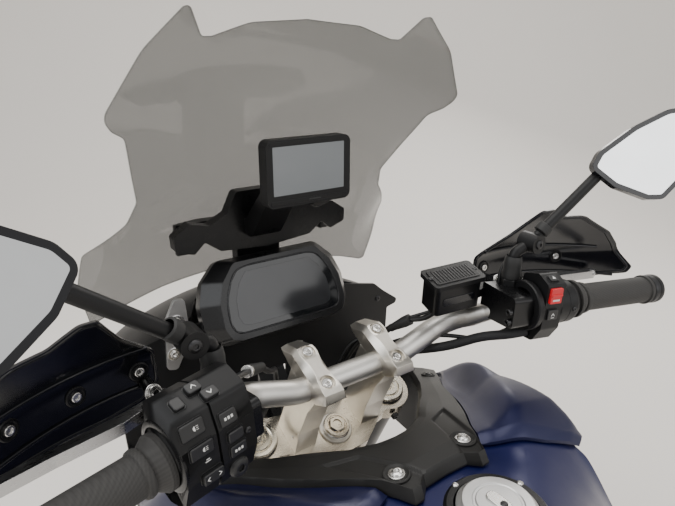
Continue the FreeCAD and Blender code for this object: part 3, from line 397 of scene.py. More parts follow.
PANEL_GLASS = glassy("display panel", (0.010, 0.011, 0.013), (0.030, 0.031, 0.034), 0.12,
                     (3, 3, 3))
NAV_FACE = glassy("navigation face", (0.17, 0.185, 0.195), (0.23, 0.243, 0.254), 0.32,
                  (2, 2, 5))
MIRROR = silvered()
LAMP_GLASS = glassy("lamp lens", (0.30, 0.32, 0.34), (0.5, 0.52, 0.54), 0.06, (3, 3, 3))
HOSE = moulded("hose rubber", (0.008, 0.008, 0.0085), 0.36, 0.1, 500)
LOOM = braided("loom sleeve", (0.014, 0.014, 0.015))
GRIPS = {side: ribbed_rubber("grip rubber " + name, side) for name, side in SIDES}

# What each CAD node is made of; a star stands for left and right
DRESS = (
    (HOSE, "brake_hose clutch_hose"),
    (LOOM, "loom_*"),
    (BAR_SILVER, "handlebar"),
    (CLAMP_ALLOY, "bar_clamp_* riser_*"),
    (YOKE_ALLOY, "top_yoke lower_yoke"),
    (BRIGHT, "steering_stem"),
    (CAP_GOLD, "fork_cap_*"),
    (DARK_STEEL, "bar_end_*"),
    (FRAME_BLACK, "fork_tube_* front_frame"),
    (LEVER_ALLOY, "brake_lever_right clutch_lever_left"),
    (SATIN_BLACK, "brake_reservoir guard_arm_* lever_perch_* nav_arm screen_bracket dash_stay"
                  " headlamp_* display_housing filler_ring"),
    (BLACK, "switch_pod_* throttle_housing reservoir_lid dash_panel nose_cowl nav_case"
            " mirror_stem_*"),
    (GUARD_BLACK, "handguard_*"),
    (GLOSS_BLACK, "mirror_shell_*"),
    (MIRROR, "mirror_glass_*"),
    (DISPLAY, "display_glass"),
    (NAV_FACE, "nav_screen"),
    (PLATE_ALLOY, "screen_plate_left filler_cap"),
    (COVER_GREY, "tank_cover"),
    (BLUE, "tank"),
    (SHELL_BLUE, "side_shell_*"),
    (SCREEN, "windscreen"),
    (GRIPS[-1], "grip_left"),
    (GRIPS[1], "grip_right"),
)
for finish, labels in DRESS:
    for label in labels.split():
        for node in sorted({label.replace("*", name) for name, _ in SIDES}):
            data = NODES[node].data
            data.materials.clear()
            data.materials.append(finish)


# Pieces


def shown(name, data):
    """New object in the scene."""
    made = bpy.data.objects.new(name, data)
    bpy.context.scene.collection.objects.link(made)
    return made


def rounded(piece, width, angle):
    """Round a piece's edges, by a width in mm, where they are sharper than the angle."""
    edge = piece.modifiers.new("edge", "BEVEL")
    edge.width = width / 1000
    edge.segments = 2
    edge.limit_method = "ANGLE"
    edge.angle_limit = math.radians(angle)


def finished(name, mesh, place, finish, body, angle=40):
    """Object from a mesh in metres, put in its place and set to ride on its body."""
    data = bpy.data.meshes.new(name)
    bmesh.ops.recalc_face_normals(mesh, faces=mesh.faces)
    mesh.to_mesh(data)
    mesh.free()
    data.materials.append(finish)
    data.shade_smooth()
    data.set_sharp_from_angle(angle=math.radians(angle))
    piece = shown(name, data)
    piece.matrix_world = place
    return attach(piece, body)


FACETS, MANY_FACETS, MOST_FACETS = 36, 48, 64  # round a small, a middling and a large piece


def turned(name, profile, place, finish, body, count=FACETS):
    """Round piece from (radius, height) rows in mm; a third entry makes that row a hexagon."""
    mesh = bmesh.new()
    rings = []
    for row in profile:
        radius, height = row[:2]
        if radius <= 0:
            rings.append([mesh.verts.new((0, 0, height / 1000))])
            continue
        ring = []
        for step in range(count):
            angle = 2 * math.pi * step / count
            reach = radius / 1000
            if len(row) > 2:
                reach *= math.cos(math.pi / 6) / math.cos(angle % (math.pi / 3) - math.pi / 6)
            ring.append(mesh.verts.new((reach * math.cos(angle), reach * math.sin(angle),
                                        height / 1000)))
        rings.append(ring)
    for low, high in zip(rings, rings[1:]):
        for step in range(count):
            corners = [low[step % len(low)], low[(step + 1) % len(low)],
                       high[(step + 1) % len(high)], high[step % len(high)]]
            unique = list(dict.fromkeys(corners))
            if len(unique) > 2:
                mesh.faces.new(unique)
    return finished(name, mesh, place, finish, body, 30)


def slabs(name, outlines, height, place, finish, body, edge=0.4, low=0.0):
    """One or more flat outlines in mm, raised off the place and rounded along their edges."""
    mesh = bmesh.new()
    for outline in outlines:
        foot = [mesh.verts.new((x / 1000, y / 1000, low / 1000)) for x, y in outline]
        top = [mesh.verts.new((x / 1000, y / 1000, height / 1000)) for x, y in outline]
        mesh.faces.new(foot)
        mesh.faces.new(top)
        for index in range(len(outline)):
            mesh.faces.new((foot[index - 1], foot[index], top[index], top[index - 1]))
    piece = finished(name, mesh, place, finish, body)
    if edge:
        rounded(piece, edge, 50)
    return piece


def soft_rectangle(width, height, radius, middle=(0, 0)):
    """Outline of a rectangle with round corners."""
    points = []
    for quarter in range(4):
        turn = math.pi / 2 * quarter
        x = (width / 2 - radius) * (1 if quarter in (0, 3) else -1)
        y = (height / 2 - radius) * (1 if quarter < 2 else -1)
        for step in range(5):
            angle = turn + math.pi / 8 * step
            points.append((middle[0] + x + radius * math.cos(angle),
                           middle[1] + y + radius * math.sin(angle)))
    return points


def rod(name, points, radius, finish, body, closed=False):
    """Smooth round rod, bead or lead through the points."""
    curve = bpy.data.curves.new(name, "CURVE")
    curve.dimensions = "3D"
    curve.bevel_depth = radius / 1000
    curve.bevel_resolution = 5
    curve.resolution_u = 8
    curve.use_fill_caps = True
    spline = curve.splines.new("NURBS")
    spline.points.add(len(points) - 1)
    for knot, point in zip(spline.points, points):
        knot.co = (*point, 1)
    spline.order_u = 3
    spline.use_endpoint_u = not closed
    spline.use_cyclic_u = closed
    curve.materials.append(finish)
    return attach(shown(name, curve), body)


WASHER_THICK = 1.2


def socket_bolt(name, place, radius, height, finish, body, washer=0.0):
    """Cap-head bolt with a hexagon socket, on a washer if that has a radius."""
    rows = [(radius, 0)]
    if washer:
        rows = [(washer, 0), (washer, 0.9), (washer - 0.4, WASHER_THICK), (radius, WASHER_THICK)]
        height += WASHER_THICK
    rows += [(radius, height - 0.6), (radius - 0.6, height), (radius * 0.58, height),
             (radius * 0.54, height - 0.3, "hex"), (radius * 0.54, height * 0.35, "hex"),
             (0, height * 0.3)]
    return turned(name, rows, place, finish, body)


def dome_bolt(name, place, radius, height, finish, body):
    """Button-head bolt with a small hexagon socket."""
    rows = [(radius, 0), (radius, height * 0.25), (radius * 0.86, height * 0.7),
            (radius * 0.6, height * 0.95), (radius * 0.42, height),
            (radius * 0.38, height - 0.2, "hex"), (radius * 0.38, height * 0.4, "hex"),
            (0, height * 0.35)]
    return turned(name, rows, place, finish, body)


# Sheets and lofts, put together from rows of points


def sheet_of(name, top, foot, finish, nodes, angle=30):
    """Closed skin between two like grids of points, standing for the CAD nodes it names."""
    mesh = bmesh.new()
    faces = []
    for grid in (top, foot):
        knots = [[mesh.verts.new(point) for point in row] for row in grid]
        for low, high in zip(knots, knots[1:]):
            for index in range(len(low) - 1):
                mesh.faces.new((low[index], low[index + 1], high[index + 1], high[index]))
        faces.append(knots)
    rims = [knots[0] + [row[-1] for row in knots[1:]] + knots[-1][-2::-1]
            + [row[0] for row in knots[-2:0:-1]] for knots in faces]
    for index in range(len(rims[0])):
        mesh.faces.new((rims[0][index - 1], rims[0][index], rims[1][index], rims[1][index - 1]))
    piece = finished(name, mesh, Matrix(), finish, "frame", angle)
    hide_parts(nodes)
    return piece


def smooth_run(knots, share):
    """Point at a share of the way along a smooth curve through the knots."""
    place = share * (len(knots) - 1)
    index = min(int(place), len(knots) - 2)
    part = place - index
    before, start, end, after = (knots[min(max(index + k, 0), len(knots) - 1)]
                                 for k in (-1, 0, 1, 2))
    point = []
    for a, b, c, d in zip(before, start, end, after):
        point.append(b + part / 2 * (c - a + part * (2 * a - 5 * b + 4 * c - d
                                                     + part * (3 * (b - c) + d - a))))
    return point


def ease(value):
    """0 to 1 with a soft start and end."""
    value = min(max(value, 0), 1)
    return value * value * (3 - 2 * value)


def carved(piece, mesh):
    """Cut a closed mesh out of a piece."""
    data = bpy.data.meshes.new("cutter")
    bmesh.ops.recalc_face_normals(mesh, faces=mesh.faces)
    mesh.to_mesh(data)
    mesh.free()
    tool = shown("cutter", data)
    cut = piece.modifiers.new("cut", "BOOLEAN")
    cut.object = tool
    cut.solver = "EXACT"
    view = bpy.context.evaluated_depsgraph_get()
    made = bpy.data.meshes.new_from_object(piece.evaluated_get(view))
    piece.modifiers.clear()
    piece.data = made
    bpy.data.objects.remove(tool)


def bored(piece, place, radius, depth):
    """Drill a flat-bottomed hole in a piece, down from the place."""
    mesh = bmesh.new()
    bmesh.ops.create_cone(mesh, cap_ends=True, segments=40, depth=2 * depth / 1000,
                          radius1=radius / 1000, radius2=radius / 1000)
    mesh.transform(place)
    carved(piece, mesh)


# Bar clamps, yoke and fork caps


LEAN_UP = (0, -math.sin(RAKE), math.cos(RAKE))
LEAN_BACK = (0, -math.cos(RAKE), -math.sin(RAKE))
STEM_AHEAD, CLAMP_OUT, FORK_OUT = -13, 51, 103
CLAMP_TOP = 27
CLAMP_HALF = 15
# Each row of a clamp: how far ahead, its foot, its top and half the width of its top
CLAMP_ROWS = ((-37, 17.4, 18, 12.6), (-34, 14.4, 22.5, 12.9), (-31, 10.8, 26.4, 12.6),
              (-24, 2.4, 27, 12.8), (-20, 0, 27, 12.2), (-14.3, 0, 27, 11.4),
              (-11, 9.1, 27, 10.8), (-6, 13.0, 27, 9.4), (0, 14.3, 27, 8.2), (6, 13.0, 27, 7.8),
              (11, 9.1, 27, 8.0), (14.3, 0, 27, 8.6), (20, 0, 27, 10.2), (26, 0, 27, 11.4),
              (32, 0, 27, 11.2), (37.5, 0.9, 26.8, 10.0), (45, 2.0, 21.2, 9.0),
              (54, 3.4, 14.4, 8.4), (59.5, 6, 10, 7.6))
# Each bolt of a clamp: how far ahead it is and how deep its head is sunk
CLAMP_BOLTS = (("front", 29.5, 3.2), ("rear", -15.5, 6.0))


def clamp_cap(name, side):
    """Cap over the bar: its top is waisted between its two sunk bolts."""
    rows = []
    for ahead, foot, crown, half in CLAMP_ROWS:
        shoulder = max(crown - 8.5, foot + 0.3)
        ring = [(-CLAMP_HALF, foot), (-CLAMP_HALF, shoulder), (-half, crown), (half, crown),
                (CLAMP_HALF, shoulder), (CLAMP_HALF, foot)]
        rows.append([steer(side * CLAMP_OUT + x, ahead, up) for x, up in ring])
    mesh = bmesh.new()
    rings = [[mesh.verts.new(point) for point in ring] for ring in rows]
    for low, high in zip(rings, rings[1:]):
        for index in range(len(low)):
            mesh.faces.new((low[index - 1], low[index], high[index], high[index - 1]))
    mesh.faces.new(rings[0])
    mesh.faces.new(rings[-1])
    piece = finished("clamp_cap_" + name, mesh, Matrix(), CLAMP_ALLOY, "steering", 20)
    for _, ahead, depth in CLAMP_BOLTS:
        bored(piece, looking(steer(side * CLAMP_OUT, ahead, CLAMP_TOP), LEAN_UP), 9.2, depth)
    rounded(piece, 0.5, 24)
    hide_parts("bar_clamp_" + name)


for name, side in SIDES:
    clamp_cap(name, side)
    for spot, ahead, depth in CLAMP_BOLTS:
        place = looking(steer(side * CLAMP_OUT, ahead, CLAMP_TOP - depth), LEAN_UP)
        socket_bolt(f"clamp_bolt_{spot}_{name}", place, 6.2, 4.4, BRIGHT, "steering")
    top = looking(steer(side * FORK_OUT, 13.2, -101), LEAN_UP)
    turned("fork_cap_ring_" + name, [(25.5, -1), (25.5, 1.2), (24, 2.2), (19.5, 2.2), (18.5, 1.2),
                                     (18.5, 0.2), (0, 0.2)], top, CAP_GOLD, "steering", MANY_FACETS)
    turned("fork_cap_hub_" + name, [(17.5, 0.2), (17.5, 1.6), (16.6, 2.4), (11.4, 2.4),
                                    (10.6, 1.0), (8.6, 1.0), (8.2, 4.4, "hex"),
                                    (7.4, 5.0, "hex"), (3.2, 5.0), (3.0, 3.6), (0, 3.6)],
           top, CAP_GOLD, "steering", MANY_FACETS)
    slabs("fork_cap_marks_" + name,
          [[(x - 1.5, -0.5), (x + 1.5, -0.5), (x + 1.5, 0.5), (x - 1.5, 0.5)]
           for x in (14.5, -14.5)],
          2.7, top, DARK_STEEL, "steering", 0.1, 2.2)
    for spot, up in (("top", -118), ("low", -330)):
        for step in (-7, 7) if spot == "low" else (0,):
            clamp = looking(steer(side * (FORK_OUT - 6), -23.5, up + step), LEAN_BACK)
            socket_bolt(f"yoke_bolt_{spot}_{name}_{step + 7}", clamp, 5, 6, DARK_STEEL, "steering")
    turned(f"riser_mark_{name}", [(2.2, 0), (2.2, 0.5), (0, 0.7)],
           looking(steer(side * (CLAMP_OUT + CLAMP_HALF), -8, -90), (side, 0, 0)), BRIGHT,
           "steering")

nut = looking(steer(0, STEM_AHEAD, -98), LEAN_UP)
turned("stem_nut_ring", [(17.2, -1), (17.2, 1.4), (16.2, 2.2), (13.6, 2.2), (12.8, 1.0),
                         (11.6, 1.0), (11.4, 3.4, "hex"), (10.6, 4.2, "hex"), (6.2, 4.2),
                         (5.6, 2.4), (0, 2.4)], nut, YOKE_ALLOY, "steering", MANY_FACETS)
turned("stem_washer", [(22, -7.6), (22, -5.4), (21.2, -4.8), (17.6, -4.8)], nut, CLAMP_ALLOY,
       "steering", MANY_FACETS)


# Left switch pod


# Faces of the pod, each from one point (ahead, above) of its outline to the next
REAR = ((-32, -10), (-31, 22))
SLOPE = ((-31, 22), (-24, 45))
TOP = ((-24, 45), (-2, 54))


def button(name, side, face, share, out, width, height, lift, finish=BUTTON, radius=1.6):
    """Button in a shallow well, at a share of the way up a pod's face."""
    place = facet(side, *face, share, out)
    slabs(name + "_well", [soft_rectangle(width + 2.4, height + 2.4, radius + 1)], 0.5, place,
          SATIN_BLACK, "steering", 0.3, -0.6)
    return slabs(name, [soft_rectangle(width, height, radius)], lift, place, finish, "steering",
                 0.7)


def arrow(x, y, size, turn):
    """Chevron outline, its tip towards the given turn in quarters."""
    points = []
    for u, v in ((0, 1), (1, -0.2), (1, -0.8), (0, 0.35), (-1, -0.8), (-1, -0.2)):
        for quarter in range(turn):
            u, v = -v, u
        points.append((x + u * size, y + v * size))
    return points


def bar_mark(x, y, width, height):
    """Rectangle round a point."""
    return [(x - width / 2, y - height / 2), (x + width / 2, y - height / 2),
            (x + width / 2, y + height / 2), (x - width / 2, y + height / 2)]


def legend(name, side, face, share, out, lift, outlines):
    """Thin pale mark on a button that stands so far off its face."""
    slabs(name, outlines, lift + 0.12, facet(side, *face, share, out), LEGEND, "steering", 0,
          lift - 0.05)


def beam_mark(x, y, size):
    """Half disc with three rays, as a lamp switch carries."""
    half = [(x + size * math.cos(a), y + size * math.sin(a))
            for a in [math.pi / 2 + math.pi * k / 6 for k in range(7)]]
    rays = [bar_mark(x + size * 0.9, y + size * 0.7 * k, size * 1.0, size * 0.22)
            for k in (-1, 0, 1)]
    return [half] + rays


beam = beam_mark(0, 0, 2.0)
dots = [bar_mark(x, 0, 2, 2.4) for x in (-3, 0, 3)]
# Each button: its face, how far up that and out it is, its width, height and lift
LEFT_BUTTONS = (
    ("beam", SLOPE, 0.55, 65, 20, 12, 1.8), ("lamp", REAR, 0.83, 62, 20, 11, 1.8),
    ("mode", SLOPE, 0.28, 35, 15, 11, 1.8), ("step", REAR, 0.68, 32, 14, 9, 2.6),
    ("set", REAR, 0.24, 31, 15, 10, 1.8), ("signal", REAR, 0.02, 57, 18, 9, 4.0),
    ("up", TOP, 0.72, 49, 12, 9, 4.5), ("down", TOP, 0.28, 41, 13, 9, 4.0),
    ("side", TOP, 0.5, 66, 9, 10, 3.0))
# Each mark: its face, how far up that and out it is, its button's lift and its outlines
LEFT_MARKS = (
    ("beam", SLOPE, 0.55, 63, 1.8, beam), ("lamp", REAR, 0.83, 60, 1.8, beam),
    ("mode", SLOPE, 0.28, 35, 1.8, dots), ("set", REAR, 0.24, 31, 1.8, dots),
    ("up", TOP, 0.72, 49, 4.5, [arrow(0, 0, 2.2, 0)]),
    ("down", TOP, 0.28, 41, 4.0, [arrow(0, 0, 2.2, 2)]),
    ("signal", REAR, 0.02, 57, 4.0, [arrow(-5, 0, 1.8, 1), arrow(5, 0, 1.8, 3)]),
    ("horn", REAR, 0.42, 58, 0.05, [bar_mark(0, 0, 5, 0.9), bar_mark(0, 1.8, 3, 0.9)]))
for label, *row in LEFT_BUTTONS:
    button(label + "_button_left", -1, *row)
for label, *row in LEFT_MARKS:
    legend(label + "_mark_left", -1, *row)

# The pod's outline (ahead, above), and the groove round it: how far out, how far past the outline
POD_OUTLINE = ((-31, 22), (-24, 45), (-2, 54), (15, 48), (18, 20), (26, 6), (20, -32), (0, -42),
               (-22, -36), (-32, -10))
POD_MIDDLE = Vector((-4, 4))
POD_GROOVE = ((43.6, 10), (45.9, -3.2), (47.1, -3.2), (49.4, 10))
cutter = bmesh.new()
loops = []
for out, past in POD_GROOVE:
    loop = []
    for corner in POD_OUTLINE:
        spot = Vector(corner) + (Vector(corner) - POD_MIDDLE).normalized() * past
        loop.append(cutter.verts.new(on_grip(-1, *spot, out)))
    loops.append(loop)
for low, high in zip(loops, loops[1:] + loops[:1]):
    for index in range(len(low)):
        cutter.faces.new((low[index - 1], low[index], high[index], high[index - 1]))
body = bmesh.new()
body.from_mesh(NODES["switch_pod_left"].data)
pod = finished("pod_shell_left", body, Matrix(), BLACK, "steering", 30)
carved(pod, cutter)
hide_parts("switch_pod_left")
left_ahead, _, left_out = grip_axes(-1)
turned("pod_ring_left", [(25, 0), (29, 0.4), (30.2, 2.2), (30.2, 3.8), (28.5, 4.6), (25, 4.6)],
       looking(on_grip(-1, -3, 5, 74.6), left_out), SATIN_BLACK, "steering", MOST_FACETS)
dome_bolt("pod_screw_left", facet(-1, *REAR, 0.55, 19), 3, 1.4, DARK_STEEL, "steering")
dome_bolt("horn_button_left", looking(on_grip(-1, -29, -22, 31), -left_ahead), 9, 4.5, BUTTON,
          "steering")


# Right pod, throttle and brake


STOP_OUT, START_OUT, HAZARD_OUT = 26, 27, 28
RIGHT_REAR = ((-26, -22), (-27, 34))
RIGHT_TOP = ((-27, 34), (-8, 43))
button("stop_switch", 1, RIGHT_REAR, 0.78, STOP_OUT, 17, 19, 4.2, RED, 1.4)
slabs("stop_switch_ridge", [soft_rectangle(16, 3.2, 1.2)], 5.6,
      facet(1, *RIGHT_REAR, 0.80, STOP_OUT), RED, "steering", 0.8, 3)
legend("stop_mark", 1, RIGHT_REAR, 0.69, STOP_OUT, 4.25, [bar_mark(0, 0, 10, 2.2)])
button("start_button", 1, RIGHT_REAR, 0.34, START_OUT, 15, 13, 2.6)
legend("start_mark", 1, RIGHT_REAR, 0.34, START_OUT, 2.6,
       [arrow(0, 0, 2.4, 0), bar_mark(0, -3.6, 5, 0.9)])
button("hazard_button", 1, RIGHT_TOP, 0.5, HAZARD_OUT, 12, 9, 2.4)
legend("hazard_mark", 1, RIGHT_TOP, 0.5, HAZARD_OUT, 2.4, [[(-2.4, -1.8), (2.4, -1.8), (0, 2.6)]])
right_ahead, _, right_out = grip_axes(1)
for spot, above in (("upper", 0.6), ("lower", -12)):
    socket_bolt("perch_bolt_" + spot, looking(on_grip(1, -15, above, -24.2), -right_out),
                4.2, 5, DARK_STEEL, "steering")
turned("pod_collar_right", [(22, 0), (29.5, 0.5), (30.5, 2), (30.5, 8), (29, 9.5), (26, 9.5)],
       looking(on_grip(1, 0, 0, 4), right_out), BLACK, "steering", MOST_FACETS)
SEAM_RADIUS, SEAM_KNOTS = 27.1, 24
seam = []
for knot in range(SEAM_KNOTS):
    angle = 2 * math.pi * knot / SEAM_KNOTS
    seam.append(on_grip(1, SEAM_RADIUS * math.cos(angle), SEAM_RADIUS * math.sin(angle), 56))
rod("throttle_seam", seam, 0.5, SATIN_BLACK, "steering", closed=True)
dome_bolt("throttle_screw", looking(on_grip(1, -27, 0, 62), -right_ahead), 3.2, 1.6, DARK_STEEL,
          "steering")
for name, side in SIDES:
    _, up_axis, out_axis = grip_axes(side)
    turned("lever_pivot_" + name, [(8.5, 0), (8.5, 1.0), (7.8, 1.6), (6.2, 1.8), (5.8, 3.4),
                                   (4.8, 4.2), (2.6, 4.2), (2.4, 2.8, "hex"), (0, 2.8)],
           looking(on_grip(side, 49, 11, 53), up_axis), BRIGHT, "steering")
    dome_bolt("lever_screw_" + name, looking(on_grip(side, 36, 11, 12), up_axis), 3.6, 1.8,
              DARK_STEEL, "steering")
    turned("lever_tip_" + name, [(0, -6.5), (4, -6.0), (6.4, -2.5), (6.6, 0), (6.4, 2.5),
                                 (4, 6.0), (0, 6.5)],
           looking(on_grip(side, 69.4, 0, 187), up_axis), LEVER_ALLOY, "steering")
    place = looking(on_grip(side, 0, 0, 229.4), out_axis)
    turned("bar_end_bolt_" + name, [(11, 0.8), (11, 1.4), (9, 2.0), (5.5, 2.0), (5.2, 0.9, "hex"),
                                    (0, 0.9)], place, DARK_STEEL, "steering")
    turned("bar_end_groove_" + name, [(19.05, -8.6), (19.35, -8.2), (19.35, -5.4), (19.05, -5)],
           place, BLACK, "steering", MOST_FACETS)
    turned("grip_lip_" + name, [(17.6, -2.5), (19.2, -2.0), (19.6, 0), (19.2, 2.0), (17.6, 2.5)],
           looking(on_grip(side, 0, 0, 208), out_axis), GRIPS[side], "steering", MOST_FACETS)
    turned("grip_bead_" + name, [(17.6, -4), (19.4, -3), (20.2, 0), (19.4, 3), (17.6, 4)],
           looking(on_grip(side, 0, 0, 97), out_axis), GRIPS[side], "steering", MOST_FACETS)


# Brake reservoir


cup = tilted(at(127.4, -34, 109), (-13.5, "Z"), (-4.4, "Y"), (10.5, "X"))
slabs("lid_panel", [soft_rectangle(60, 31, 3)], 0.9, cup, BLACK, "steering", 0.4, -0.2)
for index, x in enumerate((-31, 31)):
    turned(f"lid_screw_{index}", [(3.0, -0.1), (3.0, 1.0), (2.4, 1.4), (1.3, 1.4),
                                  (1.2, 0.8, "hex"), (0, 0.8)],
           shifted(cup, x), DARK_STEEL, "steering")
for index, x in enumerate(range(-24, 25, 4)):
    slabs(f"lid_rib_{index}", [bar_mark(x, 0, 1.5, 24)], 1.35, cup, BLACK, "steering", 0.3, 0.5)
rear = shifted(cup, 0, -18, -26) @ Matrix.Rotation(math.pi / 2, 4, "X")
slabs("level_window", [soft_rectangle(44, 11, 3)], 0.7, rear, GLOSS_BLACK, "steering", 0.3, -0.3)


# Mirrors


for name, side in SIDES:
    post = looking(on_grip(side, 28, 18, 5), grip_axes(side)[1])
    turned("post_nut_" + name, [(12.5, 0, "hex"), (12.5, 6.5, "hex"), (11, 7.6, "hex"),
                                (9.4, 7.6)], post, BLACK, "steering")
    turned("post_boot_" + name, [(9.1, 7), (11.2, 8), (11.6, 14), (10.6, 20), (11.0, 26),
                                 (10.2, 33), (8.8, 36)], post, RUBBER, "steering")
    knuckle = at(side * 218, -74, 143)
    head = at(side * 300, -99, 228)
    run = (head - knuckle).normalized()
    turned("stem_collar_" + name, [(7.1, 0), (9.4, 1.2), (9.8, 6), (9.4, 11), (7.1, 12)],
           looking(knuckle + run * 0.016, run), RUBBER, "steering")
    for spot, y in (("front", 12), ("rear", -12)):
        dome_bolt(f"knuckle_bolt_{spot}_{name}",
                  looking(knuckle + Vector((0, y / 1000, 0)), (0, y, 0)), 6, 2.4,
                  DARK_STEEL, "steering")


# Handguards


def guard_level(across, up):
    """How far ahead a guard's face is: it sweeps back to its tip and leans back above a crease."""
    sweep = 119 * (max(abs(across) - 216, 0) / 229) ** 2.2
    return 14 - sweep - 0.75 * max(up - 95, 0)


GUARD_EDGE = ((224, 64), (226, 95), (258, 127), (280, 163), (294, 165), (318, 151), (346, 151),
              (390, 125), (409, 105), (432, 71), (429, 63), (360, 47), (277, 41), (241, 47))
RIB_ROOT, RIB_SPAN = 232, 12
for name, side in SIDES:
    rim = []
    for (x0, z0), (x1, z1) in zip(GUARD_EDGE, GUARD_EDGE[1:] + GUARD_EDGE[:1]):
        for share in (0, 0.33, 0.67):
            x, z = x0 + share * (x1 - x0), z0 + share * (z1 - z0)
            rim.append(at(side * x, guard_level(x, z) + 1.6, z))
    rod("guard_rim_" + name, rim, 2.4, GUARD_BLACK, "steering", closed=True)
    for spot, height, reach in (("upper", 104, 396), ("lower", 62, 418)):
        rib = []
        for knot in range(RIB_SPAN + 1):
            x = RIB_ROOT + knot * (reach - RIB_ROOT) / RIB_SPAN
            z = height - 0.042 * knot * knot
            rib.append(at(side * x, guard_level(x, z) - 0.6, z))
        rod(f"guard_rib_{spot}_{name}", rib, 2.2, GUARD_BLACK, "steering")
    for spot, x, z in (("outer", 352, 83), ("inner", 298, 79), ("root", 240, 78)):
        place = seated(NODES["handguard_" + name], at(side * x, -150, z), TO_FRONT)
        turned(f"guard_seat_{spot}_{name}", [(9.5, -0.4), (9.5, 1.0), (8.6, 1.8), (7.2, 1.8),
                                             (6.6, 0.8), (0, 0.8)], place, SATIN_BLACK, "steering")
        socket_bolt(f"guard_bolt_{spot}_{name}", shifted(place, z=0.8), 4.6, 2.2, BRIGHT,
                    "steering")
for name, side in SIDES:
    mount = looking(at(side * 236.8, -17, 69.6), (-side * 0.15, -0.8, 0.5))
    socket_bolt("guard_mount_bolt_" + name, mount, 6.4, 5, BRIGHT, "steering", 8.2)


# Navigation unit and display


nav = looking(at(2, 88, 229), TO_REAR)
slabs("nav_bezel_top", [soft_rectangle(108, 4.6, 2, (0, 35.2))], 0.6, nav, BLACK, "frame", 0.3,
      -0.2)
slabs("nav_bezel_foot", [soft_rectangle(108, 5.4, 2, (0, -33.6))], 0.6, nav, BLACK, "frame", 0.3,
      -0.2)
slabs("nav_label_blank", [soft_rectangle(17, 1.6, 0.8, (6, -33.6))], 0.75, nav, BUTTON, "frame", 0,
      0.5)
slabs("nav_back", [soft_rectangle(96, 62, 8)], 3.5, looking(at(2, 106, 229), TO_FRONT), BLACK,
      "frame", 1.2, -0.5)
for name, side in SIDES:
    turned("nav_pivot_" + name, [(0, 0), (8, 0), (8, 4), (6.8, 5), (3, 5), (2.8, 3.4, "hex"),
                                 (0, 3.4)],
           looking(at(-12 + side * 22, 110, 226), (side, 0, 0)), DARK_STEEL, "frame")

dash = tilted(at(0, 158, 52), (-24, "X"), (90, "X"))
GLASS = ((-58, 43), (-72, 27), (-83, 2), (-85, -26), (-80, -38), (-70, -42),
         (70, -42), (80, -38), (85, -26), (83, 2), (72, 27), (58, 43))
slabs("display_panel", [[(x * 0.86, y * 0.84 + 0.5) for x, y in GLASS]], 0.25, dash, PANEL_GLASS,
      "frame", 0, -0.1)
rim = [dash @ Vector((x / 1000, y / 1000, 0.0004)) for x, y in
       ((-60, 44.5), (-73.5, 28), (-84.5, 2), (-86.5, -27), (-81, -39.5), (-70, -43.5), (0, -43.5),
        (70, -43.5), (81, -39.5), (86.5, -27), (84.5, 2), (73.5, 28), (60, 44.5), (0, 44.5))]
rod("display_rim", rim, 1.0, GLOSS_BLACK, "frame", closed=True)


# Screen mounts, dash panel and lamps


for name, side in SIDES:
    place = seated(NODES["windscreen"], at(side * 112, 0, 136), TO_FRONT)
    turned("screen_grommet_" + name, [(9, -0.3), (9, 1.6), (7.6, 2.6), (0, 2.6)], place, RUBBER,
           "frame")
    dome_bolt("screen_bolt_" + name, shifted(place, z=2.6), 5, 2.2, DARK_STEEL, "frame")
    dome_bolt("panel_screw_" + name, looking(at(side * 205, 201, -30), TO_REAR), 5, 2,
              DARK_STEEL, "frame")
    slabs("lamp_lens_" + name, [soft_rectangle(82, 34, 12)], 3.2,
          looking(at(side * 70, 328, -34), TO_FRONT), LAMP_GLASS, "frame", 1.4, -0.5)
    for spot, x in (("inner", 50), ("outer", 88)):
        turned(f"lamp_bowl_{spot}_{name}", [(15, 3.3), (15, 4.4), (13.4, 4.8), (12, 4.0),
                                            (7, 3.5), (0, 3.4)],
               looking(at(side * x, 328, -34), TO_FRONT), BRIGHT, "frame")
socket_bolt("plate_bolt_upper", looking(at(-142, 196, 24), TO_REAR), 7.5, 4, BRIGHT, "frame", 12)
socket_bolt("plate_bolt_lower", looking(at(-149, 196, -19), TO_REAR), 5, 3, BRIGHT, "frame", 9)


# Side shells, tank cover and filler; the levels are those of the solids


def cover_level(across, ahead):
    """Top of the cover round the yoke, falling away ahead and to the sides."""
    return -24 - 0.25 * max(ahead + 138, 0) - 0.0007 * across * across


def tank_level(across, ahead):
    """Top of the tank under the cover and the side shells."""
    seam = 84 + 0.62 * (ahead + 140)
    rise = math.sin(math.pi / 2 * min(max((across - seam) / 60, 0), 1)) ** 2
    fade = max(1 - (max(-70 - ahead, 0) / 108) ** 2, 0)
    ridge = (30 + 0.25 * max(ahead + 60, 0)) * rise * fade
    edge = 0.05 * max(across - 200 - 0.12 * max(ahead + 60, 0), 0) ** 2
    back = min(max((-170 - ahead) / 110, 0), 1)
    shoulder = 37 * (1 - math.cos(math.pi * back)) * (across / 185) ** 2
    return cover_level(across, ahead) - 16.4 + ridge - edge - shoulder


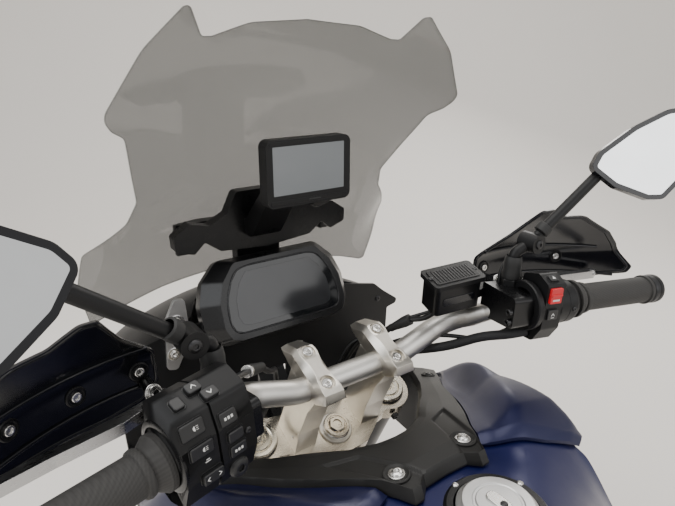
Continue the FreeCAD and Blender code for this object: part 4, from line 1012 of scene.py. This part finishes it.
# Inner and outer edges of a side shell, from the rider forward
SHELL_SEAM = ((66, -149), (82, -122), (110, -88), (136, -51), (160, -6), (189, 29), (224, 66),
              (225, 102))
SHELL_EDGE = ((190, -192), (214, -178), (234, -138), (243, -88), (246, -20), (247, 20), (245, 60),
              (238, 104))
SHELL_REACH, SHELL_SPAN = 72, 34  # steps along and across it
SHELL_GAP, SHELL_THICK = 3.2, 10
for name, side in SIDES:
    top, foot = [], []
    for step in range(SHELL_REACH + 1):
        seam = smooth_run(SHELL_SEAM, step / SHELL_REACH)
        edge = smooth_run(SHELL_EDGE, step / SHELL_REACH)
        row, under = [], []
        for place in range(SHELL_SPAN + 1):
            share = place / SHELL_SPAN
            x = seam[0] + share * (edge[0] - seam[0])
            y = seam[1] + share * (edge[1] - seam[1])
            y -= 14 * share * (1 - share) * (1 - ease(step / SHELL_REACH * 3))
            base = tank_level(x, y) + SHELL_GAP
            lip = 6.0 * max(1 - step / 5, 0)
            brink = 3.0 * max(1 - place / 3, 0) + 4.0 * max(1 - (SHELL_SPAN - place) / 4, 0)
            row.append(at(side * x, y, base + SHELL_THICK - min(lip + brink, 8)))
            under.append(at(side * x, y, base))
        top.append(row)
        foot.append(under)
    sheet_of("shell_skin_" + name, top, foot, SHELL_BLUE, "side_shell_" + name)


# Front and rear edges of half the cover, from the middle out to its tip
COVER_FRONT = ((0, -80), (13, -78.5), (24, -76), (38, -69.5), (52, -62), (63, -51), (74, -40),
               (88, -26), (105, -11), (142, 30), (175, 77), (199, 112))
COVER_REAR = ((0, -162), (29, -163), (41, -173.5), (51, -173), (58, -158), (66, -144), (76, -129),
              (104, -96), (134, -54), (160, -8), (195, 33), (222, 68))
COVER_SPAN = 60  # steps across it
COVER_THICK = 14
CHANNEL_RUN = (-0.361, -0.9326)  # the way a channel runs, to the rear and the middle
CHANNEL_INNER, CHANNEL_OUTER = 79.6, 109.5  # how far beside that line its two walls are


def cover_relief(across, ahead):
    """Depth of the sunk channel that leads to each bolt of the cover."""
    along = CHANNEL_RUN[0] * across + CHANNEL_RUN[1] * ahead
    beside = CHANNEL_RUN[0] * ahead - CHANNEL_RUN[1] * across
    mouth = along - 62 + 1.07 * (beside - CHANNEL_INNER)
    return 3.4 * ease(min(beside - CHANNEL_INNER, CHANNEL_OUTER - beside, mouth) / 4)


stations = []
for index in range(len(COVER_FRONT) - 1):
    (start, end), (back, last) = (tuple(map(Vector, edge[index:index + 2]))
                                  for edge in (COVER_FRONT, COVER_REAR))
    count = max(round((end - start).length / 2), 4)
    for step in range(count):
        stations.append((start.lerp(end, step / count), back.lerp(last, step / count)))
stations.append((Vector(COVER_FRONT[-1]), Vector(COVER_REAR[-1])))
top, foot = [], []
for side, run in ((-1, stations[::-1]), (1, stations[1:])):
    for front, rear in run:
        row, under = [], []
        wide = (rear - front).length
        out = ease((front.x - 60) / 50)
        for place in range(COVER_SPAN + 1):
            share = place / COVER_SPAN
            spot = front.lerp(rear, share)
            level = cover_level(spot.x, spot.y)
            behind = (1 - share) * wide
            before = share * wide
            skirt = 12.0 * max(1 - behind / 6.5, 0)
            brow = 3.2 * max(1 - before / 15, 0) * (1 - out) + 5 * max(0.5 - share, 0) * out
            nose = 7.0 * max(1 - before / 3.5, 0)
            drop = min(cover_relief(spot.x, spot.y) * (behind > 7) + brow + max(skirt, nose), 12.6)
            row.append(at(side * spot.x, spot.y, level - drop))
            under.append(at(side * spot.x, spot.y, level - COVER_THICK))
        top.append(row)
        foot.append(under)
cover = sheet_of("cover_skin", top, foot, COVER_GREY, "tank_cover", 24)

COVER_BOLTS = (("right", 46.8, -139.4, 1, BRIGHT), ("left", -46.8, -139.4, 1, BRIGHT),
               ("tip_right", 181, 49, 0.7, SATIN_BLACK), ("tip_left", -181, 49, 0.7, SATIN_BLACK))
for label, x, y, size, finish in COVER_BOLTS:
    place = seated(cover, at(x, y, 60), (0, 0, -1))
    turned("cover_seat_" + label, [(14.4 * size, -0.4), (14.4 * size, 0.9), (13.4 * size, 1.7),
                                   (12.4 * size, 1.7), (10.2 * size, 0.3), (0, 0.3)], place,
           COVER_GREY, "frame", MANY_FACETS)
    turned("cover_washer_" + label, [(8.6 * size, 0.2), (8.6 * size, 0.9), (8.0 * size, 1.3),
                                     (6.2 * size, 1.4)], place, finish, "frame")
    dome_bolt("cover_bolt_" + label, shifted(place, z=1.2), 6.4 * size, 3.2 * size, finish,
              "frame")

filler = looking(at(0, -226, -30), (0, 0, 1))
SCREW_RADIUS = 44.5
for index in range(4):
    angle = math.radians(12 + 90 * index)
    place = shifted(filler, SCREW_RADIUS * math.cos(angle), SCREW_RADIUS * math.sin(angle))
    dome_bolt(f"filler_screw_{index}", place, 3.2, 1.6, BRIGHT, "frame")
turned("filler_cap_step", [(33.5, 5.6), (33.5, 7.2), (32.4, 8.0), (24, 8.4), (23, 7.6), (21, 7.6),
                           (20, 8.6), (0, 9.0)], filler, PLATE_ALLOY, "frame", MOST_FACETS)
slabs("filler_flap", [soft_rectangle(13, 26, 6)], 10.4, filler, BRIGHT, "frame", 0.8, 8.2)
turned("filler_key", [(3.6, 10.2), (3.6, 10.8), (3.0, 11.1), (0, 11.1)],
       shifted(filler, 0, -6), DARK_STEEL, "frame")


# Fittings on the hoses and looms


def sleeve(name, start, end, first, last, finish, ferrule=0.0):
    """Tapered boot over a hose between two points, with a bright end where it has one."""
    run = end - start
    length = run.length * 1000
    place = looking(start, run)
    turned(name, [(first * 0.6, 0), (first, 1), (first, length * 0.3), (last, length * 0.8),
                  (last, length - 1), (last * 0.7, length)], place, finish, "steering")
    if ferrule:
        turned(name + "_ferrule", [(0, -5), (ferrule, -5), (ferrule + 0.8, -4), (ferrule + 0.8, 0),
                                   (ferrule, 1)], place, BRIGHT, "steering")


sleeve("clutch_sleeve", at(-134, 0, 48), at(-106, 25, 31), 6.6, 5.6, RUBBER, 6.0)
sleeve("brake_sleeve", at(105, 12, 36), at(90, 35, 17), 7.4, 5.2, RUBBER)
rod("reservoir_lead", [at(134, -24, 60), at(118, 0, 46), at(98, 26, 30), at(76, 50, 4),
                       steer(57, 64, -38), steer(45, 62, -80), steer(41, 58, -122)], 2.2, HOSE,
    "steering")
for name, side in SIDES:
    rod("switch_lead_" + name, [on_grip(side, 12, -30, 18), at(side * 172, -62, 16),
                                at(side * 140, -12, 14), at(side * 106, 26, 2),
                                at(side * 78, 48, -16), steer(side * 52, 52, -70),
                                steer(side * 40, 54, -110), steer(side * 34, 52, -150)], 2.8, HOSE,
        "steering")
rod("hose_guide", [on_grip(1, 36, 12, -6), on_grip(1, 38, 26, -4), on_grip(1, 44, 38, 4),
                   on_grip(1, 48, 41, 18), on_grip(1, 48, 36, 30), on_grip(1, 46, 22, 36),
                   on_grip(1, 44, 8, 36)], 2.6, BLACK, "steering")


# Stage, light and camera


def plain(name, color, roughness):
    """Pale floor with a barely seen cloudiness."""
    made = Finish(name, color, roughness)
    cloud = made.noise(0.9, 4)
    made.put("Base Color", made.blended(cloud, shade(color, 0.95), shade(color, 1.04)))
    return made.material


# The camera is turned right and down by these, and stands here, in metres
YAW = math.radians(35.204)
PITCH = math.radians(19.627)
ROLL = 0.0025435
CAMERA_PLACE = Vector((-0.35403, -0.29312, 0.69233))
FOCAL_PIXELS, PHOTO_WIDTH, SENSOR = 563.69, 675, 36
# The floor runs from behind the camera to a bend that lifts it to a wall, in metres
FLOOR = cad_box[0][2] - 0.0005
FLOOR_NEAR, FLOOR_FAR, BEND, BEND_STEPS, WALL_TOP, HALF_WIDTH = -4.0, 1.9, 1.4, 16, 5.0, 6
away = Vector((math.sin(YAW), math.cos(YAW), 0))
beside = Vector((math.cos(YAW), -math.sin(YAW), 0))
profile = [(FLOOR_NEAR, FLOOR), (FLOOR_FAR, FLOOR)]
for step in range(1, BEND_STEPS + 1):
    angle = math.pi / 2 * step / BEND_STEPS
    profile.append((FLOOR_FAR + BEND * math.sin(angle), FLOOR + BEND - BEND * math.cos(angle)))
profile.append((FLOOR_FAR + BEND, WALL_TOP))
backdrop = bmesh.new()
edges = []
for distance, height in profile:
    edges.append([backdrop.verts.new(away * distance + beside * reach + Vector((0, 0, height)))
                  for reach in (-HALF_WIDTH, HALF_WIDTH)])
for low, high in zip(edges, edges[1:]):
    backdrop.faces.new((low[0], low[1], high[1], high[0]))
floor_data = bpy.data.meshes.new("floor")
backdrop.to_mesh(floor_data)
backdrop.free()
floor_data.materials.append(plain("pale floor", (0.83, 0.795, 0.75), 0.8))
floor_data.shade_smooth()
shown("floor", floor_data)

world = bpy.data.worlds.new("studio")
bpy.context.scene.world = world
world.use_nodes = True
surroundings = world.node_tree.nodes["Background"]
surroundings.inputs["Color"].default_value = (0.90, 0.89, 0.875, 1)
surroundings.inputs["Strength"].default_value = 0.85


def softbox(name, origin, width, height, power, color=(1, 1, 1)):
    """Soft rectangular light that faces the middle of the part."""
    lamp = bpy.data.lights.new(name, "AREA")
    lamp.shape = "RECTANGLE"
    lamp.size, lamp.size_y = width, height
    lamp.energy = power
    lamp.color = color
    shown(name, lamp).matrix_world = looking(Vector(origin), Vector(origin) - LIT_MIDDLE)


LIT_MIDDLE = Vector((0, 0.15, 0.3))
softbox("overhead", (-0.3, 0.4, 2.6), 2.4, 2.0, 42, (1, 0.98, 0.95))
softbox("left_window", (-2.2, 0.2, 1.5), 1.6, 1.4, 20, (0.94, 0.97, 1))
softbox("rear_fill", (0.6, -2.0, 1.4), 1.8, 1.2, 14)
softbox("right_strip", (2.0, 1.2, 1.6), 0.8, 1.8, 24, (1, 0.98, 0.95))

lens = bpy.data.cameras.new("camera")
lens.sensor_width = SENSOR
lens.lens = FOCAL_PIXELS / PHOTO_WIDTH * SENSOR
lens.clip_start = 0.02
camera = shown("camera", lens)
look = away * math.cos(PITCH) - Vector((0, 0, math.sin(PITCH)))
right = beside * math.cos(ROLL) + beside.cross(look) * math.sin(ROLL)
above = right.cross(look)
aim = Matrix((right, above, -look)).transposed().to_4x4()
aim.translation = CAMERA_PLACE
camera.matrix_world = aim
bpy.context.scene.camera = camera
